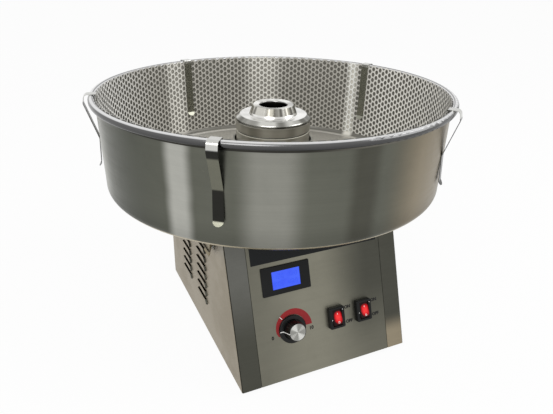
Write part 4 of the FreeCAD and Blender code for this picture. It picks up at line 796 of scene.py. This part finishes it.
def make_band():
    low, high = (-BAND_SIDE, BAND_LOW), (BAND_SIDE, PANEL_LENGTH - BAND_GAP)
    points, faces = slab([rectangle(low, high)], 0, FILM, on_panel)
    new_piece("header_band", points, faces, BAND_BLACK, "root")


def polar(centre, radius, degrees):
    turn = math.radians(degrees)
    return centre[0] + radius * math.cos(turn), centre[1] + radius * math.sin(turn)


def make_heat_scale():
    """Crescent round the knob that widens clockwise, with one tick near its narrow end."""
    start, inner, thin, growth = 200, 25.3, 1.0, 11.6
    steps = 34
    turns = [start * (1 - i / steps) for i in range(steps + 1)]
    widths = [thin + growth * (i / steps) ** 0.5 for i in range(steps + 1)]
    outlines = []
    for i in range(steps):
        edge = [polar(KNOB_AT, inner, turns[i]), polar(KNOB_AT, inner, turns[i + 1])]
        for j in (i + 1, i):
            edge.append(polar(KNOB_AT, inner + widths[j], turns[j]))
        outlines.append(edge[::-1])
    points, faces = slab(outlines, 0, FILM, on_panel)
    new_piece("heat_scale", points, faces, INK_RED, "root")
    tick_turn = 129.5
    corners = ((26.5, -1.1), (33.0, -0.9), (33.0, 0.9), (26.5, 1.1))
    tick = [polar(KNOB_AT, radius, tick_turn + side) for radius, side in corners]
    points, faces = slab([tick], FILM, 2 * FILM, on_panel)
    new_piece("heat_tick", points, faces, INK_WHITE, "root")


def lettering(name, text, at, height, bold):
    """Printed characters on the control panel, centred on a point, as a thin mesh."""
    capital_share = 0.7
    curve = bpy.data.curves.new(name, "FONT")
    curve.body, curve.size = text, height * MM / capital_share
    curve.align_x, curve.align_y = "CENTER", "CENTER"
    curve.extrude, curve.offset = FILM / 2 * MM, bold * MM
    curve.resolution_u = 3
    draft = bpy.data.objects.new(name, curve)
    bpy.context.collection.objects.link(draft)
    mesh = bpy.data.meshes.new_from_object(draft.evaluated_get(bpy.context.evaluated_depsgraph_get()))
    bpy.data.objects.remove(draft)
    bpy.data.curves.remove(curve)
    axes = Matrix((Vector((1, 0, 0)), PANEL_UP, PANEL_OUT)).transposed().to_4x4()
    mesh.transform(Matrix.Translation(on_panel(*at, FILM / 2) * MM) @ axes)
    mesh.materials.clear()
    mesh.materials.append(INK_BLACK)
    piece = bpy.data.objects.new(name, mesh)
    bpy.context.collection.objects.link(piece)
    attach(piece, "root")


def make_lettering():
    scale_print = {"height": 5.8, "bold": 0.42}
    lettering("scale_low", "0", (-97.5, 79.0), **scale_print)
    lettering("scale_high", "10", (-24.0, 79.4), **scale_print)
    switch_print = {"height": 5.5, "bold": 0.45}
    for name, (across, up) in SWITCHES_AT.items():
        lettering(name + "_on", "ON", (across + 25.9, up + 11.8), **switch_print)
        lettering(name + "_off", "OFF", (across + 27.6, up - 15.2), **switch_print)


SEGMENTS = {"0": "abcdef", "1": "bc", "2": "abdeg", "6": "acdefg", "8": "abcdefg"}


def digit_bars(digit, at, size):
    """Bars of one seven-bar digit, lower left corner at a point."""
    wide, tall = size
    bar, half = wide * 0.2, tall / 2
    left, right, low, top = at[0], at[0] + wide, at[1], at[1] + tall
    bars = {
        "a": ((left + bar, top - bar), (right - bar, top)),
        "b": ((right - bar, low + half), (right, top - bar / 2)),
        "c": ((right - bar, low + bar / 2), (right, low + half)),
        "d": ((left + bar, low), (right - bar, low + bar)),
        "e": ((left, low + bar / 2), (left + bar, low + half)),
        "f": ((left, low + half), (left + bar, top - bar / 2)),
        "g": ((left + bar, low + half - bar / 2), (right - bar, low + half + bar / 2)),
    }
    return [rectangle(*bars[key]) for key in SEGMENTS[digit]]


def make_screen_digits():
    """Two rows of plain numbers on the screen."""
    left, top, step, drop, size = -21.5, 2.2, 6.3, 13.0, (4.2, 8.4)
    outlines = []
    for row, digits in enumerate(("120 180", "000 600")):
        for i, digit in enumerate(digits):
            if digit in SEGMENTS:
                at = (DISPLAY_AT[0] + left + i * step, DISPLAY_AT[1] + top - row * drop)
                outlines += digit_bars(digit, at, size)
    points, faces = slab(outlines, 1.5, 1.56, on_panel)
    new_piece("screen_digits", points, faces, LCD_DARK, "root")


def make_knob_pointer():
    """White line over the knob's skirt, flank and rim, at nine o'clock."""
    path = [(24.2, 3.62), (18.9, 4.22), (18.45, 4.6), (15.75, 21.2), (15.35, 21.5), (14.5, 21.5)]
    half, lift, sunk = 0.75, 0.1, -0.2
    points = []
    for rise in (lift, sunk):
        for radius, out in path:
            points += [on_panel(KNOB_AT[0] - radius - rise, KNOB_AT[1] + side, out + rise) for side in (-half, half)]
    count, faces = 2 * len(path), []
    for i in range(0, count - 2, 2):
        faces.append([i, i + 1, i + 3, i + 2])
        faces.append([count + i + 2, count + i + 3, count + i + 1, count + i])
        faces += [[i, i + 2, count + i + 2, count + i], [i + 1, count + i + 1, count + i + 3, i + 3]]
    faces += [[0, count, count + 1, 1], [count - 2, count - 1, 2 * count - 1, 2 * count - 2]]
    new_piece("knob_pointer", points, faces, INK_WHITE, "heat_knob")


def rocker_point(at, across, along, out):
    """Point on a rocker, from its pins, along its tipped face."""
    turn = math.radians(ROCKER_TIP)
    up = along * math.cos(turn) - out * math.sin(turn)
    off = along * math.sin(turn) + out * math.cos(turn)
    return on_panel(at[0] + across, at[1] + up, ROCKER_PINS + off)


def make_rocker_marks():
    """A bar and a ring moulded in white on each lit rocker, and two dots on its frame."""
    for name, at in SWITCHES_AT.items():
        def lay(across, along, out, at=at):
            rise = ROCKER_RISE + abs(along) / ROCKER_END * (ROCKER_END_RISE - ROCKER_RISE)
            return rocker_point(at, across, along, rise + out)

        outlines = [rectangle((0.6, 4.4), (1.6, 7.0))]
        ring, inner, outer, steps = (1.6, -9.6), 1.1, 1.8, 20
        for i in range(steps):
            start, end = 360 * i / steps, 360 * (i + 1) / steps
            outlines.append([polar(ring, inner, start), polar(ring, outer, start),
                             polar(ring, outer, end), polar(ring, inner, end)])
        points, faces = slab(outlines, -0.05, 0.06, lay)
        new_piece(name + "_rocker_marks", points, faces, INK_WHITE, name + "_rocker")
        dots = [[polar((at[0] + across, at[1] + up), 0.7, turn) for turn in range(0, 360, 30)]
                for across, up in ((11.0, 13.5), (-11.0, -2.5))]
        points, faces = slab(dots, FRAME_FACE - 0.05, FRAME_FACE + 0.05, on_panel)
        new_piece(name + "_frame_dots", points, faces, INK_WHITE, "root")


def cross_outline(reach, half):
    """Twelve-sided outline of a cross recess."""
    quarter = [(reach, -half), (reach, half), (half, half)]
    outline = []
    for i in range(4):
        turn = Matrix.Rotation(math.pi / 2 * i, 2)
        outline += [tuple(turn @ Vector(spot)) for spot in quarter]
    return outline


def make_screw_recesses():
    """Cross recesses of the rear screws and of the screws under the feet, painted dark as their shade."""
    points, faces = [], []
    rear_heads, foot_heads = 171.8, 1.0
    spots = [("rear", x, z) for x in (-155.5, 155.5) for z in (32.5, 147.0, 261.5)]
    spots += [("foot", x, y) for x in (-131.0, 131.0) for y in (-218.0, 138.0)]
    for kind, first, second in spots:
        def lay(a, b, out, kind=kind, first=first, second=second):
            if kind == "rear":
                return Vector((first - a, rear_heads + out, second + b))
            return Vector((first + a, second - b, foot_heads - out))

        more, more_faces = slab([cross_outline(2.1, 0.45)], -0.3, 0.04, lay)
        faces += [[i + len(points) for i in face] for face in more_faces]
        points += more
    new_piece("screw_recesses", points, faces, RECESS_SHADE, "root")


def make_terminal_screws():
    """Slotted screws at the bottom of the terminal strip's wells."""
    points, faces = [], []
    wells, left, length, back, floor = 6, -122.0, 64.0, 60.0, 24.2
    radius, tall = 3.0, 1.4

    def lay(a, b, up):
        return Vector((a, b, floor + up))

    for i in range(wells):
        middle = (left + length / wells * (i + 0.5), back)
        halves = []
        for start in (10, 190):
            halves.append([polar(middle, radius, start + turn) for turn in range(0, 161, 20)])
        more, more_faces = slab(halves, 0, tall, lay)
        faces += [[j + len(points) for j in face] for face in more_faces]
        points += more
    new_piece("terminal_screws", points, faces, FINISHES["zinc_steel"], "root")


# Studio

def sight_mask(tree):
    """1 for what the camera, reflections and clear parts see, 0 for light on the object."""
    rays = add(tree, "LightPath").outputs
    seen = calc(tree, "MAXIMUM", rays["Is Camera Ray"], rays["Is Glossy Ray"])
    return calc(tree, "MAXIMUM", seen, rays["Is Transmission Ray"])


def make_floor():
    half = FLOOR_HALF
    mesh = bpy.data.meshes.new("studio_floor")
    mesh.from_pydata([(-half, -half, 0), (half, -half, 0), (half, half, 0), (-half, half, 0)], [], [(0, 1, 2, 3)])
    floor = bpy.data.objects.new("studio_floor", mesh)
    bpy.context.collection.objects.link(floor)
    material = bpy.data.materials.new("pale_floor")
    material.use_nodes = True
    tree = material.node_tree
    tree.nodes.clear()
    light = add(tree, "Emission", {"Color": (1, 1, 1, 1), "Strength": BACKGROUND_WHITE})
    matt = add(tree, "BsdfDiffuse", {"Color": (0.86, 0.86, 0.86, 1)})
    share = calc(tree, "MULTIPLY", sight_mask(tree), 0.95)
    mixed = add(tree, "MixShader", {0: share, 1: matt.outputs[0], 2: light.outputs[0]})
    output = add(tree, "OutputMaterial", {"Surface": mixed.outputs[0]})
    output.is_active_output = True
    mesh.materials.append(material)


def make_world():
    world = bpy.data.worlds.new("studio_air")
    bpy.context.scene.world = world
    world.use_nodes = True
    tree = world.node_tree
    strength = span(tree, sight_mask(tree), 0.0, 1.0, LIGHT_ON_PART, BACKGROUND_WHITE)
    back = tree.nodes["Background"]
    back.inputs["Color"].default_value = (1, 1, 1, 1)
    plug(tree, strength, back.inputs["Strength"])


def make_lamp(name, spot, size, power):
    lamp = bpy.data.lights.new(name, "AREA")
    lamp.shape, lamp.size, lamp.energy = "DISK", size, power
    thing = bpy.data.objects.new(name, lamp)
    bpy.context.collection.objects.link(thing)
    thing.location = spot
    thing.rotation_euler = (LAMP_AIM - Vector(spot)).to_track_quat("-Z", "Y").to_euler()


def make_camera():
    yaw, pitch, roll = CAMERA_YAW, CAMERA_PITCH, CAMERA_ROLL
    ahead = Vector((math.sin(yaw) * math.cos(pitch), math.cos(yaw) * math.cos(pitch), -math.sin(pitch)))
    right = Vector((math.cos(yaw), -math.sin(yaw), 0))
    up = right.cross(ahead)
    rolled = right * math.cos(roll) + up * math.sin(roll)
    above = up * math.cos(roll) - right * math.sin(roll)
    data = bpy.data.cameras.new("camera")
    data.sensor_width, data.sensor_fit, data.lens = 36.0, "HORIZONTAL", 34.671
    data.shift_x, data.shift_y = 0.00943, -0.002186
    data.clip_start, data.clip_end = 0.01, 60.0
    camera = bpy.data.objects.new("camera", data)
    bpy.context.collection.objects.link(camera)
    turned = Matrix((rolled, above, -ahead)).transposed().to_4x4()
    camera.matrix_world = Matrix.Translation(CAMERA_SPOT) @ turned
    bpy.context.scene.camera = camera


def make_studio():
    make_floor()
    make_world()
    make_lamp("key_lamp", (-1.9, -2.1, 2.6), 2.2, 62.0)
    make_lamp("fill_lamp", (2.3, -1.4, 2.0), 2.0, 30.0)
    make_camera()
    bpy.context.scene.view_settings.view_transform = "Standard"


dress_nodes()
make_net()
make_band()
make_heat_scale()
make_lettering()
make_screen_digits()
make_knob_pointer()
make_rocker_marks()
make_screw_recesses()
make_terminal_screws()
make_studio()
